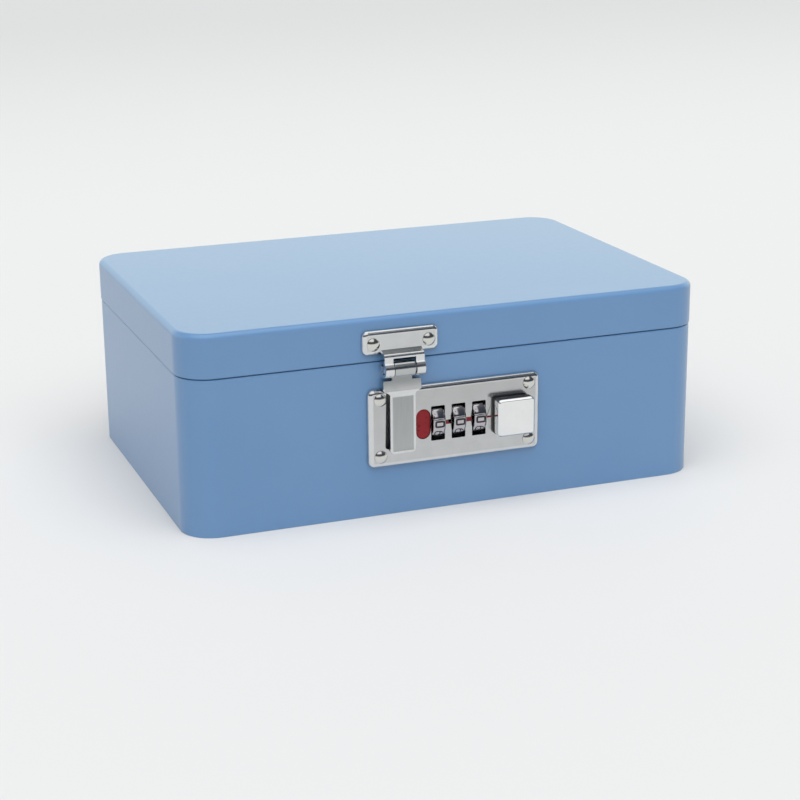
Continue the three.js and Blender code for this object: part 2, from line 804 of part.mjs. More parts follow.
// The core goes through the plate. Its stem has a ramp for the latch bar's tab on the right, and
// two ears behind the plate keep the button in.
function buttonCore() {
  const inset = 2 * buttonInset;
  const block = alongY(centred(0, 0, buttonLength - inset, buttonHeight - inset, buttonCorner - buttonInset),
    -buttonBase + seat, plateSheet + seat, smallCornerSteps);
  const rampAt = (y) => tabX - rampGap + latchRatio * (latchFrontY - y);
  const startY = latchFrontY - buttonTravel;
  const endY = plateFaceY + stemDepth;
  const outline = polygon([
    [stemLeft, plateFaceY],
    [rampAt(startY), plateFaceY],
    [rampAt(startY), startY],
    [rampAt(endY), endY],
    [stemLeft, endY],
  ]);
  const stem = alongZ(outline, -stemHeight / 2, stemHeight / 2).translate(-buttonX, -plateFaceY, 0);
  const earHalf = buttonHeight / 2 + earReach;
  const earY = plateSheet + seat;
  const ears = alongY(rectangle(stemLeft, -earHalf, stemLeft + earWidth, earHalf), earY, earY + earSheet)
    .translate(-buttonX, 0, 0);
  return shaped(block, { join: [stem, ears] });
}

// Hasp leaf on the lid: pressed plate, neck that swings out over the seam, and two knuckles
// Drawn with y = 0 on the skirt's face, z = 0 at the seam and x = 0 in the hasp's middle.
function haspRivetPlaces() {
  return [-haspRivetSpan / 2, haspRivetSpan / 2].map((x) => [haspX + x, haspRivetZ]);
}

function haspPlate() {
  const height = haspPlateTop - haspPlateBottom;
  const plate = pressedPlate(haspPlateLength, height, haspCorner, haspFace, haspEdge, plateSheet, seat)
    .translate(0, 0, haspPlateBottom + height / 2);
  const holes = haspRivetPlaces().map(([x, z]) =>
    rodY(x - haspX, z, rivetShank + shankGap, -cutReach, cutReach, holeSides));
  const faceLine = haspFace - haspSheet / 2;
  const neckLine = neckProud - haspSheet / 2;
  const bend = neckBend - haspSheet / 2;
  const tilt = THREE.MathUtils.degToRad(neckTilt);
  const slopeProud = neckLine - bend * (1 - Math.cos(tilt));
  const rootZ = neckBendZ + bend * Math.sin(tilt) + (slopeProud - faceLine) / Math.tan(tilt);
  const wrapStart = THREE.MathUtils.radToDeg(Math.acos((haspPinProud - neckLine) / haspRoll));
  const line = [
    [-faceLine, rootZ + haspSheet / 2],
    [-faceLine, rootZ],
    ...arc(bend - neckLine, neckBendZ, bend, 180 - neckTilt, 180, smallCornerSteps),
    ...arc(-haspPinProud, haspPinZ, haspRoll, wrapStart, outerWrapEnd, 2 * arcSteps),
  ];
  const strip = alongX(bentSheet(line, haspSheet), -haspWidth / 2, haspWidth / 2);
  const gap = middleKnuckle / 2 + knuckleGap;
  const slot = alongX(rectangle(-2 * haspPinProud, haspPinZ - 2 * haspBarrel, 0, slotTop), -gap, gap);
  return shaped(plate, { join: [strip], cut: [...holes, slot] });
}

// Hasp tongue, drawn about its pin: knuckle, wide shoulders, a bend over the lock and a sunk panel
function haspTongue() {
  const panelLine = haspPinProud - (tongueFace - haspSheet / 2);
  const low = (z) => z - haspPinZ;
  const slant = Math.atan2(haspRoll - panelLine, -low(tongueBendZ));
  const line = [
    ...arc(0, 0, haspRoll, middleWrapStart, -THREE.MathUtils.radToDeg(slant), 2 * arcSteps),
    [panelLine, low(tongueBendZ)],
    [panelLine, low(tongueBottom)],
  ];
  const strip = alongX(bentSheet(line, haspSheet), -shoulderWidth, shoulderWidth);
  const [knuckle, shoulder, tongue] = [middleKnuckle / 2, shoulderWidth / 2, tongueWidth / 2];
  const bottom = low(tongueBottom);
  const right = [
    [tongue, low(shoulderBottom - shoulderTaper)],
    [shoulder, low(shoulderBottom)],
    [shoulder, low(shoulderTop)],
    [knuckle, low(shoulderTop)],
    [knuckle, haspBarrel + 1],
  ];
  const foot = [
    ...arc(-tongue + tongueCorner, bottom + tongueCorner, tongueCorner, 180, 270, smallCornerSteps),
    ...arc(tongue - tongueCorner, bottom + tongueCorner, tongueCorner, 270, 360, smallCornerSteps),
  ];
  const left = right.map(([x, z]) => [-x, z]).reverse();
  const outline = alongY(polygon([...foot, ...right, ...left]), -2 * haspBarrel, 2 * haspBarrel);
  const faceY = haspPinProud - tongueFace;
  const panel = alongY(rectangle(-tongue + panelRim, bottom + panelRim, tongue - panelRim, low(panelTop),
    0.4), faceY - 1, faceY + panelSunk, 2);
  return shaped(strip, { cut: [panel], within: [outline] });
}

// Staple: a loop on the tongue's back whose eye takes the bolt
function haspStaple() {
  const eyeHalf = boltHeight / 2 + eyeClear;
  const outerHalf = eyeHalf + stapleWall;
  const rootY = frontY - tongueFace + haspSheet + seat;
  const eyeFrom = latchY - latchThickness / 2 - eyeClear;
  const eyeTo = latchY + latchThickness / 2 + eyeClear;
  const endY = eyeTo + stapleWall;
  const local = (y) => y - haspPinY;
  const z = stapleZ - haspPinZ;
  const loop = polygon([
    [local(rootY), z - outerHalf],
    ...arc(local(endY) - 1, z - outerHalf + 1, 1, 270, 360, smallCornerSteps),
    ...arc(local(endY) - 1, z + outerHalf - 1, 1, 0, 90, smallCornerSteps),
    [local(rootY), z + outerHalf],
  ]);
  const eye = rectangle(local(eyeFrom), z - eyeHalf, local(eyeTo), z + eyeHalf, 0.4);
  const half = stapleThickness / 2;
  return shaped(alongX(loop, -half, half), { cut: [alongX(eye, -half - 1, half + 1, 2)] });
}

function pin(radius, length) {
  const chamfer = radius * 0.2;
  const profile = [
    [0, -length / 2], [radius - chamfer, -length / 2], [radius, -length / 2 + chamfer],
    [radius, length / 2 - chamfer], [radius - chamfer, length / 2], [0, length / 2],
  ].map(([r, y]) => new THREE.Vector2(r, y));
  return closedGeometry(new THREE.LatheGeometry(profile, holeSides).rotateZ(Math.PI / 2));
}

// Rear hinges, drawn about the pin. side is 1 for the leaf on the lid and -1 for that on the body.
const hingeXs = [hingeMargin - boxLength / 2, boxLength / 2 - hingeMargin];

function hingeRivetPlaces(side) {
  return hingeXs.flatMap((x) => [-hingeRivetSpan / 2, hingeRivetSpan / 2]
    .map((offset) => [x + offset, hingePinZ + side * hingeRivetDrop]));
}

function hingeRivetHoles(side) {
  return hingeRivetPlaces(side).map(([x, z]) =>
    rodY(x, z, rivetShank + shankGap, rearY - cutReach, rearY + cutReach, holeSides));
}

function leafPlate(side) {
  const wallY = side > 0 ? rearY : rearY - bodyStep;
  const near = wallY + seat - hingePinY;
  const [from, to] = side > 0 ? [0, leafHeight] : [-leafHeight, 0];
  const outline = rectangle(-hingeWidth / 2, from, hingeWidth / 2, to, leafCorner);
  return { near, plate: alongY(outline, near, near + hingeSheet, smallCornerSteps) };
}

// The leaf's edge beside the pin is cut back where the other leaf has its knuckles.
function hingeLeaf(side) {
  const { near, plate } = leafPlate(side);
  const half = hingeWidth / 2;
  const mid = hingeMiddle / 2;
  const ownSpans = side > 0 ? [[-mid, mid]] : [[-half, -mid - hingeGap], [mid + hingeGap, half]];
  const otherSpans = side > 0
    ? [[-half - 1, -mid - hingeGap / 2], [mid + hingeGap / 2, half + 1]]
    : [[-mid - hingeGap, mid + hingeGap]];
  const knuckles = ownSpans.map(([from, to]) => rodX(0, 0, hingeBarrel, from, to, roundSides));
  const webs = ownSpans.map(([from, to]) => {
    const level = side * (hingeBarrel + leafClear);
    const web = rectangle(near, Math.min(0, level), near + hingeSheet, Math.max(0, level));
    return alongX(web, from, to);
  });
  const clear = hingeBarrel + leafClear;
  const relief = otherSpans.map(([from, to]) => rodX(0, 0, clear, from, to, roundSides));
  const ends = alongX(rectangle(near - 1, Math.min(0, side * 2.2), near + 2, Math.max(0, side * 2.2)),
    -half - 1, half + 1);
  const bore = rodX(0, 0, hingePinRadius + shankGap, -half - 1, half + 1, holeSides);
  const rivetHoles = [-hingeRivetSpan / 2, hingeRivetSpan / 2].map((x) =>
    rodY(x, side * hingeRivetDrop, rivetShank + shankGap, near - cutReach, near + cutReach, holeSides));
  const leaf = shaped(plate, { cut: [ends, ...relief, ...rivetHoles] });
  return shaped(leaf, { join: [...knuckles, ...webs, side > 0 ? stopFin() : stopTab(near)], cut: [bore] });
}

// The stop: a fin on the lid's knuckle comes down on a tab of the body's leaf when the lid is open.
function stopFin() {
  const mid = hingeMiddle / 2;
  const openAngle = Math.asin((stopTabDrop - runningGap) / stopReach);
  const fin = alongX(rectangle(hingePinRadius + 0.4, 0, stopReach, hingeSheet), -mid, mid);
  return fin.rotateX(THREE.MathUtils.degToRad(lidOpening) - openAngle);
}

function stopTab(near) {
  const mid = hingeMiddle / 2;
  return alongX(bentSheet([
    [near + hingeSheet / 2, -stopTabDrop - 2.4],
    [near + hingeSheet / 2, -stopTabDrop - hingeSheet / 2],
    [stopTabReach, -stopTabDrop - hingeSheet / 2],
  ], hingeSheet), -mid, mid);
}

// Assembly
const box = new THREE.Group();

function add(parent, name, geometry, material, place = [0, 0, 0]) {
  const mesh = new THREE.Mesh(closedGeometry(geometry), material());
  mesh.name = name;
  mesh.position.set(...place);
  parent.add(mesh);
  return mesh;
}

function groupAt(parent, place) {
  const group = new THREE.Group();
  group.position.set(...place);
  parent.add(group);
  return group;
}

add(box, 'body_shell', bodyShell(), materials.paint);
add(box, 'base_plate', basePlate(), materials.paint);

// The lock
const lock = groupAt(box, [lockX, 0, lockZ]);
add(lock, 'lock_plate', lockPlate(), materials.nickel);
const lockGrip = wallInsideY + 2 * seat + caseSheet - plateFaceY + seat;
lockRivetPlaces().forEach(([x, z], i) => {
  add(lock, `lock_rivet_${i + 1}`, rivet(lockRivetHead, lockRivetDome, lockGrip + seat), materials.nickel,
    [x, plateFaceY - seat, z]);
});
add(lock, 'red_oval', redOval(), materials.red, [ovalX, plateFaceY, ovalZ]);
markPlaces().forEach(([x, width], i) => {
  add(lock, `index_mark_${i + 1}`, indexMark(width), materials.red, [x, plateFaceY + markDepth, wheelZ]);
});
add(lock, 'lock_case', lockCase(), materials.zinc);
add(lock, 'bearing_rib_left', bearingRib(axleLeft), materials.zinc);
add(lock, 'bearing_rib_right', bearingRib(axleRight - axleBearing), materials.zinc);
add(lock, 'wheel_axle', wheelAxle(), materials.spring, [0, wheelY, wheelZ]);
add(lock, 'detent_spring', detentSpring(), materials.spring);
add(lock, 'latch_spring', latchSpring(), materials.spring, [0, latchY, springZ]);
add(lock, 'latch_bar', latchBar(), materials.zinc);

wheelXs.forEach((x, i) => {
  const wheel = groupAt(lock, [x, wheelY, wheelZ]);
  add(wheel, `number_wheel_${i + 1}`, numberWheel(), materials.chrome);
  add(wheel, `code_cam_${i + 1}`, codeCam(), materials.zinc, [wheelWidth / 2, 0, 0]);
});

const button = groupAt(lock, [buttonX, plateFaceY, buttonZ]);
add(button, 'button_cap', buttonCap(), materials.chrome);
add(button, 'button_core', buttonCore(), materials.black);

// The lid with the hasp's fixed leaf
const lid = groupAt(box, [0, 0, 0]);
add(lid, 'lid_shell', lidShell(), materials.paint);
add(lid, 'hasp_plate', haspPlate(), materials.nickel, [haspX, frontY, seamHeight]);
const haspGrip = haspFace + sheet + 3 * seat;
haspRivetPlaces().forEach(([x, z], i) => {
  add(lid, `hasp_rivet_${i + 1}`, rivet(lockRivetHead, lockRivetDome, haspGrip), materials.nickel,
    [x, frontY - haspFace - seat, seamHeight + z]);
});
add(lid, 'hasp_pin', pin(haspPinRadius, haspWidth), materials.nickel, [haspX, haspPinY, haspHeight]);

// The hasp's swinging leaf
const hasp = groupAt(lid, [haspX + tongueShift, haspPinY, haspHeight]);
add(hasp, 'hasp_tongue', haspTongue(), materials.nickel);
add(hasp, 'hasp_staple', haspStaple(), materials.nickel);

// The rear hinges
['left', 'right'].forEach((hand, i) => {
  const place = [hingeXs[i], hingePinY, hingePinZ];
  add(box, `hinge_${hand}_body_leaf`, hingeLeaf(-1), materials.nickel, place);
  add(lid, `hinge_${hand}_lid_leaf`, hingeLeaf(1), materials.nickel, place);
  add(box, `hinge_${hand}_pin`, pin(hingePinRadius, hingeWidth + 1), materials.spring, place);
});
const rearGrip = hingeSheet + sheet + 3 * seat;
[[-1, 'body', box, -bodyStep], [1, 'lid', lid, 0]].forEach(([side, word, parent, step]) => {
  hingeRivetPlaces(side).forEach(([x, z], i) => {
    const geometry = rivet(hingeRivetHead, hingeRivetDome, rearGrip);
    const mesh = add(parent, `hinge_${word}_rivet_${i + 1}`, geometry, materials.nickel,
      [x, rearY + step + hingeSheet + 2 * seat, z]);
    mesh.rotation.x = Math.PI;
  });
});

export default box;
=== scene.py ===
"""A sky-blue tinplate lock box with a nickel hasp and a three-wheel combination lock.

Sizes are in millimetres here and become metres when a mesh is made. +X runs to the right along
the front, -Y out of the front, +Z up, and the origin is the middle of the underside.
"""
import math

import bmesh
import bpy
import numpy as np
from mathutils import Matrix, Vector


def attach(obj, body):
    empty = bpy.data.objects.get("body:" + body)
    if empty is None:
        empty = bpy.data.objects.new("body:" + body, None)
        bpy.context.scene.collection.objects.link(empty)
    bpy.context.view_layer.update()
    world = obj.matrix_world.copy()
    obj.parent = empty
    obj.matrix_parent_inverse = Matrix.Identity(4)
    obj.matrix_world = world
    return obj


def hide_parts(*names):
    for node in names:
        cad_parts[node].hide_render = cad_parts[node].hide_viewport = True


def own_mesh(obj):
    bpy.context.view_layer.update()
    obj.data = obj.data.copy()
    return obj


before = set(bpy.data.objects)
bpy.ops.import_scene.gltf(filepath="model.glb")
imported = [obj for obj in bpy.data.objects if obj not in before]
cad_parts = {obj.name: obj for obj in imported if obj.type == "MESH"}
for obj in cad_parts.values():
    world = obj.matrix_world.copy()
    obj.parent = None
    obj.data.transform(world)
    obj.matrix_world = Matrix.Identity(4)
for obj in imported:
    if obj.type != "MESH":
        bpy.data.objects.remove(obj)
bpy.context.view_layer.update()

MM = 0.001
X, Y, Z = 0, 1, 2


# Outlines and sections, as numpy arrays of points in millimetres

def arc(u, v, radius, start, end, steps):
    """Points at equal angles on a circle about (u, v), from start to end in degrees."""
    angle = np.radians(np.linspace(start, end, steps + 1))
    return np.stack([u + radius * np.cos(angle), v + radius * np.sin(angle)], -1)


def rounded(length, width, radius, inset=0.0, steps=10, lead=0.0):
    """A rounded rectangle about the origin: four quarter circles of radius less inset, with a
    further point on each straight side, lead away from the arc's end."""
    quarters = []
    for k, (sx, sy) in enumerate([(1, -1), (1, 1), (-1, 1), (-1, -1)]):
        centre = np.array([sx * (length / 2 - radius), sy * (width / 2 - radius)])
        bend = arc(*centre, radius - inset, 90 * k - 90, 90 * k, steps)
        if lead:
            turn = np.radians(90 * k - 90)
            along = np.array([-math.sin(turn), math.cos(turn)])
            after = np.array([-math.cos(turn), -math.sin(turn)])
            bend = np.vstack([bend[:1] - along * lead, bend, bend[-1:] + after * lead])
        quarters.append(bend)
    return np.vstack(quarters)


def box_outline(u0, v0, u1, v1, radius=0.0, steps=6):
    """A rectangle between two corners, with its own corners rounded by radius."""
    if radius <= 0:
        return np.array([[u0, v0], [u1, v0], [u1, v1], [u0, v1]], float)
    middle = np.array([(u0 + u1) / 2, (v0 + v1) / 2])
    return rounded(u1 - u0, v1 - v0, radius, 0, steps) + middle


def unit(vectors):
    return vectors / np.linalg.norm(vectors, axis=1)[:, None]


def sideways(before, after, thickness, most=math.inf):
    """The way from a bent line to one side of its strip: half the thickness along the mean normal
    of the two neighbouring segments, lengthened at a corner so that the strip stays even."""
    before, after = unit(before), unit(after)
    along = unit(before + after)
    reach = thickness / 2 / np.sqrt((1 + (before * after).sum(1)) / 2)
    return np.stack([-along[:, 1], along[:, 0]], -1) * np.minimum(reach, most)[:, None]


def sheet_section(line, thickness):
    """The outline of a bent strip that lies evenly on both sides of a line."""
    step = np.diff(line, axis=0)
    normal = sideways(np.vstack([step[:1], step]), np.vstack([step, step[-1:]]), thickness)
    return np.vstack([line + normal, (line - normal)[::-1]])


# Meshes

def grid_faces(rows, columns, rows_close=False, columns_close=True):
    """Four-sided faces over a grid of points, which may close on itself in either direction."""
    r = np.arange(rows if rows_close else rows - 1)[:, None]
    c = np.arange(columns if columns_close else columns - 1)[None, :]
    r2, c2 = (r + 1) % rows, (c + 1) % columns
    corners = [r * columns + c, r * columns + c2, r2 * columns + c2, r2 * columns + c]
    return np.stack([np.broadcast_to(k, (r.size, c.size)) for k in corners], -1).reshape(-1, 4)


def added(name, data):
    """A new object of the scene."""
    made = bpy.data.objects.new(name, data)
    bpy.context.scene.collection.objects.link(made)
    return made


def solid(name, points, faces):
    """A mesh from points in millimetres and faces, with coinciding points merged, every face
    turned outwards, and edges kept sharp only where the surface turns by more than 35 degrees."""
    mesh = bpy.data.meshes.new(name)
    mesh.from_pydata((np.asarray(points).reshape(-1, 3) * MM).tolist(), [], [list(f) for f in faces])
    body = bmesh.new()
    body.from_mesh(mesh)
    bmesh.ops.remove_doubles(body, verts=body.verts, dist=2e-7)
    bmesh.ops.recalc_face_normals(body, faces=body.faces)
    if body.calc_volume(signed=True) < 0:
        bmesh.ops.reverse_faces(body, faces=body.faces)
    body.to_mesh(mesh)
    body.free()
    shade(mesh)
    return added(name, mesh)


def shade(mesh, angle=35):
    mesh.polygons.foreach_set("use_smooth", np.ones(len(mesh.polygons), bool))
    mesh.set_sharp_from_angle(angle=math.radians(angle))
    mesh.update()


def merged(source, mesh, distance, angle):
    """Writes one mesh into another, its doubled points merged and its flat neighbours joined."""
    body = bmesh.new()
    body.from_mesh(source)
    bmesh.ops.remove_doubles(body, verts=body.verts, dist=distance)
    bmesh.ops.dissolve_limit(body, angle_limit=math.radians(angle), verts=body.verts, edges=body.edges)
    body.to_mesh(mesh)
    body.free()
    shade(mesh)


def skinned(name, rings, close=False):
    """A mesh from rings of points, each ring joined to the next. The first and the last ring are
    capped, or joined to each other."""
    count, n = rings.shape[:2]
    faces = grid_faces(count, n, rows_close=close).tolist()
    if not close:
        faces += [list(range(n)), list(range((count - 1) * n, count * n))]
    return solid(name, rings, faces)


def carried(name, section, outline_at, close=False):
    """A profile carried round an outline: ring i is the outline inset by section[i][0] at height
    section[i][1]. The two ends are capped, or the profile closes on itself."""
    rings = [np.column_stack([o := outline_at(inset), np.full(len(o), height)]) for inset, height in section]
    return skinned(name, np.array(rings), close)


def stand(piece, middle):
    """Turns a piece made level so that its height points out of the front, at a place."""
    co = np.empty(len(piece.data.vertices) * 3)
    piece.data.vertices.foreach_get("co", co)
    co = co.reshape(-1, 3)
    moved = np.stack([co[:, 0] + middle[0] * MM, middle[1] * MM - co[:, 2], co[:, 1] + middle[2] * MM], -1)
    piece.data.vertices.foreach_set("co", moved.ravel())
    piece.data.update()
    return piece


def prism(name, outline, axis, start, end):
    """An outline carried straight along an axis. Along X it is drawn in Y and Z, along Y in X
    and Z, along Z in X and Y."""
    outline = np.asarray(outline, float)
    other = [k for k in (X, Y, Z) if k != axis]
    points = np.zeros((2, len(outline), 3))
    points[:, :, other[0]] = outline[:, 0]
    points[:, :, other[1]] = outline[:, 1]
    points[0, :, axis], points[1, :, axis] = start, end
    return skinned(name, points)


def turned(name, profile, sides, at):
    """A profile of (radius, distance) turned about a line along Y through a point: each point
    goes round a circle of its radius at its distance along the line."""
    angle = np.linspace(0, 2 * np.pi, sides, endpoint=False)
    points = np.zeros((len(profile), sides, 3))
    points[:, :, X] = profile[:, :1] * np.cos(angle)
    points[:, :, Y] = profile[:, 1:]
    points[:, :, Z] = profile[:, :1] * np.sin(angle)
    return skinned(name, points + np.array(at))


def tube(name, path, radius, sides):
    """A circle carried along a path. At each point its plane is spanned by the cross product of
    the tangent with the X axis, and by that of the tangent with this."""
    tangent = unit(np.gradient(path, axis=0))
    side = unit(np.cross(tangent, (1, 0, 0)))
    up = np.cross(tangent, side)
    angle = np.linspace(0, 2 * np.pi, sides, endpoint=False)
    points = (path[:, None] + radius * (side[:, None] * np.cos(angle)[None, :, None]
                                        + up[:, None] * np.sin(angle)[None, :, None]))
    return skinned(name, points)


def combine(piece, others, operation):
    """Joins, cuts or limits a closed mesh by others, which are used up."""
    for other in others:
        modifier = piece.modifiers.new("shape", "BOOLEAN")
        modifier.operation, modifier.solver, modifier.object = operation, "EXACT", other
        evaluated = piece.evaluated_get(bpy.context.evaluated_depsgraph_get())
        made = bpy.data.meshes.new_from_object(evaluated)
        piece.modifiers.clear()
        old, piece.data = piece.data, made
        bpy.data.meshes.remove(old)
        bpy.data.objects.remove(other)
    merged(piece.data, piece.data, 5e-7, 0.3)
    return piece


def cut(piece, *cutters):
    return combine(piece, cutters, "DIFFERENCE")


def joined(piece, *others):
    return combine(piece, others, "UNION")


def within(piece, *limits):
    return combine(piece, limits, "INTERSECT")


def eased(piece, width, steps=2):
    """Rounds the sharp edges by a small width and weighs the normals by the faces' areas."""
    if width:
        bevel = piece.modifiers.new("edges", "BEVEL")
        bevel.width, bevel.segments = width * MM, steps
        bevel.limit_method, bevel.angle_limit = "ANGLE", math.radians(38)
        bevel.use_clamp_overlap = True
        bevel.miter_outer = "MITER_ARC"
    weigh = piece.modifiers.new("normals", "WEIGHTED_NORMAL")
    weigh.mode, weigh.weight, weigh.keep_sharp = "FACE_AREA", 80, True
    return piece


def place(piece, body, finish, *nodes):
    """Gives a piece the material of its finish, which is a material and its slot, lets it ride on a
    body and hides the CAD nodes it stands for."""
    material, slot = finish
    piece.data.materials.clear()
    piece.data.materials.append(material)
    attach(piece, body)
    if nodes:
        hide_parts(*nodes)
    return piece


def copied(node, made, body, finish, width, cutters=()):
    """A CAD node's own form with eased edges. How it's made ends its name."""
    name = f"{node}_{made}"
    mesh = bpy.data.meshes.new(name)
    merged(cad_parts[node].data, mesh, 2e-6, 0.5)
    piece = added(name, mesh)
    if cutters:
        cut(piece, *cutters)
    return place(eased(piece, width), body, finish, node)


# Materials

class Amount:
    """A number that varies over a surface: a node's output socket, with arithmetic."""

    def __init__(self, finish, socket):
        self.finish, self.socket = finish, socket

    def _maths(self, operation, *values):
        made = self.finish.node("ShaderNodeMath", {"operation": operation}, values)
        return Amount(self.finish, made.outputs[0])

    def __add__(self, other): return self._maths("ADD", self, other)
    def __radd__(self, other): return self._maths("ADD", other, self)
    def __sub__(self, other): return self._maths("SUBTRACT", self, other)
    def __rsub__(self, other): return self._maths("SUBTRACT", other, self)
    def __mul__(self, other): return self._maths("MULTIPLY", self, other)
    def __rmul__(self, other): return self._maths("MULTIPLY", other, self)
    def __abs__(self): return self._maths("ABSOLUTE", self)

    def between(self, low, high, smooth=True):
        """0 below low, 1 above high."""
        kind = "SMOOTHSTEP" if smooth else "LINEAR"
        made = self.finish.node("ShaderNodeMapRange", {"interpolation_type": kind, "clamp": True},
                                {"Value": self, "From Min": low, "From Max": high})
        return Amount(self.finish, made.outputs["Result"])


class Finish:
    """A material and its node tree, with one Principled shader."""

    def __init__(self, name, colour, roughness, metallic=0.0, **sockets):
        self.material = bpy.data.materials.new(name)
        self.material.use_nodes = True
        self.material.diffuse_color = (*colour, 1)
        self.tree = self.material.node_tree
        self.shader = self.tree.nodes["Principled BSDF"]
        self.set("Base Color", (*colour, 1))
        self.set("Roughness", roughness)
        self.set("Metallic", metallic)
        for name, value in sockets.items():
            self.set(name.replace("_", " "), value)

    def set(self, name, value, node=None):
        socket = (node or self.shader).inputs[name]
        value = value.socket if isinstance(value, Amount) else value
        if isinstance(value, bpy.types.NodeSocket):
            self.tree.links.new(value, socket)
        else:
            socket.default_value = value

    def node(self, kind, settings=None, inputs=()):
        """A node of one kind: settings first, then its inputs, by name or in order."""
        made = self.tree.nodes.new(kind)
        for key, value in (settings or {}).items():
            setattr(made, key, value)
        pairs = inputs.items() if isinstance(inputs, dict) else enumerate(inputs)
        for key, value in pairs:
            self.set(key, value, made)
        return made

    def where(self):
        """The point on the piece, in metres."""
        return self.node("ShaderNodeTexCoord").outputs["Object"]

    def stretched(self, scale, turn=(0, 0, 0)):
        """The same point, scaled and turned, which draws a texture out along one axis."""
        made = self.node("ShaderNodeMapping", None,
                         {"Vector": self.where(), "Scale": scale, "Rotation": turn})
        return made.outputs["Vector"]

    def noise(self, scale, detail, roughness, vector=None):
        made = self.node("ShaderNodeTexNoise", None, {
            "Vector": vector or self.where(), "Scale": scale, "Detail": detail, "Roughness": roughness})
        return Amount(self, made.outputs["Fac"])

    def spots(self, scale, randomness=1.0):
        """The distance to the nearest of many scattered points."""
        made = self.node("ShaderNodeTexVoronoi", None, {
            "Vector": self.where(), "Scale": scale, "Randomness": randomness})
        return Amount(self, made.outputs["Distance"])

    def blend(self, amount, first, second):
        """One colour mixed into another by an amount."""
        made = self.node("ShaderNodeMix", {"data_type": "RGBA"})
        self.set(0, amount, made)
        for key, value in ((6, first), (7, second)):
            self.set(key, value if isinstance(value, bpy.types.NodeSocket) else (*value, 1), made)
        return made.outputs[2]

    def bump(self, height, distance, strength=1.0):
        """Raises the surface by a height that varies, times a distance in millimetres."""
        made = self.node("ShaderNodeBump", None, {
            "Height": height, "Distance": distance * MM, "Strength": strength})
        self.set("Normal", made.outputs["Normal"])

    def part(self, axis):
        """One coordinate of the point, in metres."""
        made = self.node("ShaderNodeSeparateXYZ", None, {"Vector": self.where()})
        return Amount(self, made.outputs[axis])

    def inside(self, x, z, width, height, soft):
        """1 within a rectangle of the front, fading to 0 over a soft edge; all in millimetres."""
        across, up = abs(self.part("X") - x * MM), abs(self.part("Z") - z * MM)
        side = 1 - across.between((width / 2 - soft) * MM, width / 2 * MM)
        return side * (1 - up.between((height / 2 - soft) * MM, height / 2 * MM))


def blue_paint():
    """Baked satin paint on tinplate: a fine orange peel, faint clouding of tone and sheen, and a
    few specks of dust under the coat."""
    f = Finish("blue_paint", (0.120, 0.247, 0.444), 0.32, 0.0, IOR=1.5, Coat_Weight=0.35, Coat_Roughness=0.22)
    cloud = f.noise(14, 4, 0.55)
    fine = f.noise(420, 3, 0.6)
    speck = 1 - f.spots(260).between(0.035, 0.06)
    rare = f.noise(90, 1, 0.5).between(0.62, 0.66)
    tone = f.blend(cloud.between(0.3, 0.7), (0.115, 0.240, 0.436), (0.125, 0.254, 0.452))
    f.set("Base Color", f.blend(speck * rare * 0.35, tone, (0.26, 0.38, 0.54)))
    f.set("Roughness", 0.27 + 0.05 * cloud + 0.05 * fine)
    peel = f.noise(900, 2, 0.5)
    f.bump(peel * 0.7 + f.noise(2600, 2, 0.5) * 0.3 + speck * rare * 0.6, 0.012)
    return f.material


def nickel(name, tone, tint=(0.98, 1, 1), face=None, dull=1.0, painted_fade=0.0):
    """Bright nickel on pressed steel: a soft rolling grain, faint haze and hairline scratches. The
    tone scales its brightness. A plate's flat face, given as the rectangle's middle x and z, width
    and height, is duller than its polished edge, and a painted reflection darkens it a little towards its
    top."""
    base = np.array(tint) * tone
    f = Finish(name, tuple(base), 0.2, 1.0)
    haze = f.noise(160, 4, 0.6)
    grain = f.noise(1500, 2, 0.5, f.stretched((0.06, 1, 1)))
    hair = f.noise(3200, 1, 0.5, f.stretched((0.02, 1, 1), (0, 0.5, 0.2))).between(0.68, 0.74)

    def hazed(metal):
        return f.blend(haze.between(0.35, 0.7), tuple(1.03 * metal), tuple(0.965 * metal))

    colour = hazed(base)
    rough = 0.10 + 0.07 * haze + 0.05 * grain + 0.08 * hair
    if face:
        flat = f.inside(*face, 0.3)
        middle, height = face[1], face[3]
        # Painted reflection: the flat face is darkened towards its top, by the amount given for the fade
        top = f.part("Z").between((middle - height / 2) * MM, (middle + height / 2) * MM)
        dull_face_and_painted_fade = f.blend(top * painted_fade, hazed(dull * base), tuple(0.7 * dull * base))
        colour = f.blend(flat, colour, dull_face_and_painted_fade)
        rough = rough + 0.03 * flat
    f.set("Base Color", colour)
    f.set("Roughness", rough)
    f.bump(grain * 0.5 + haze * 0.5, 0.003)
    return f.material


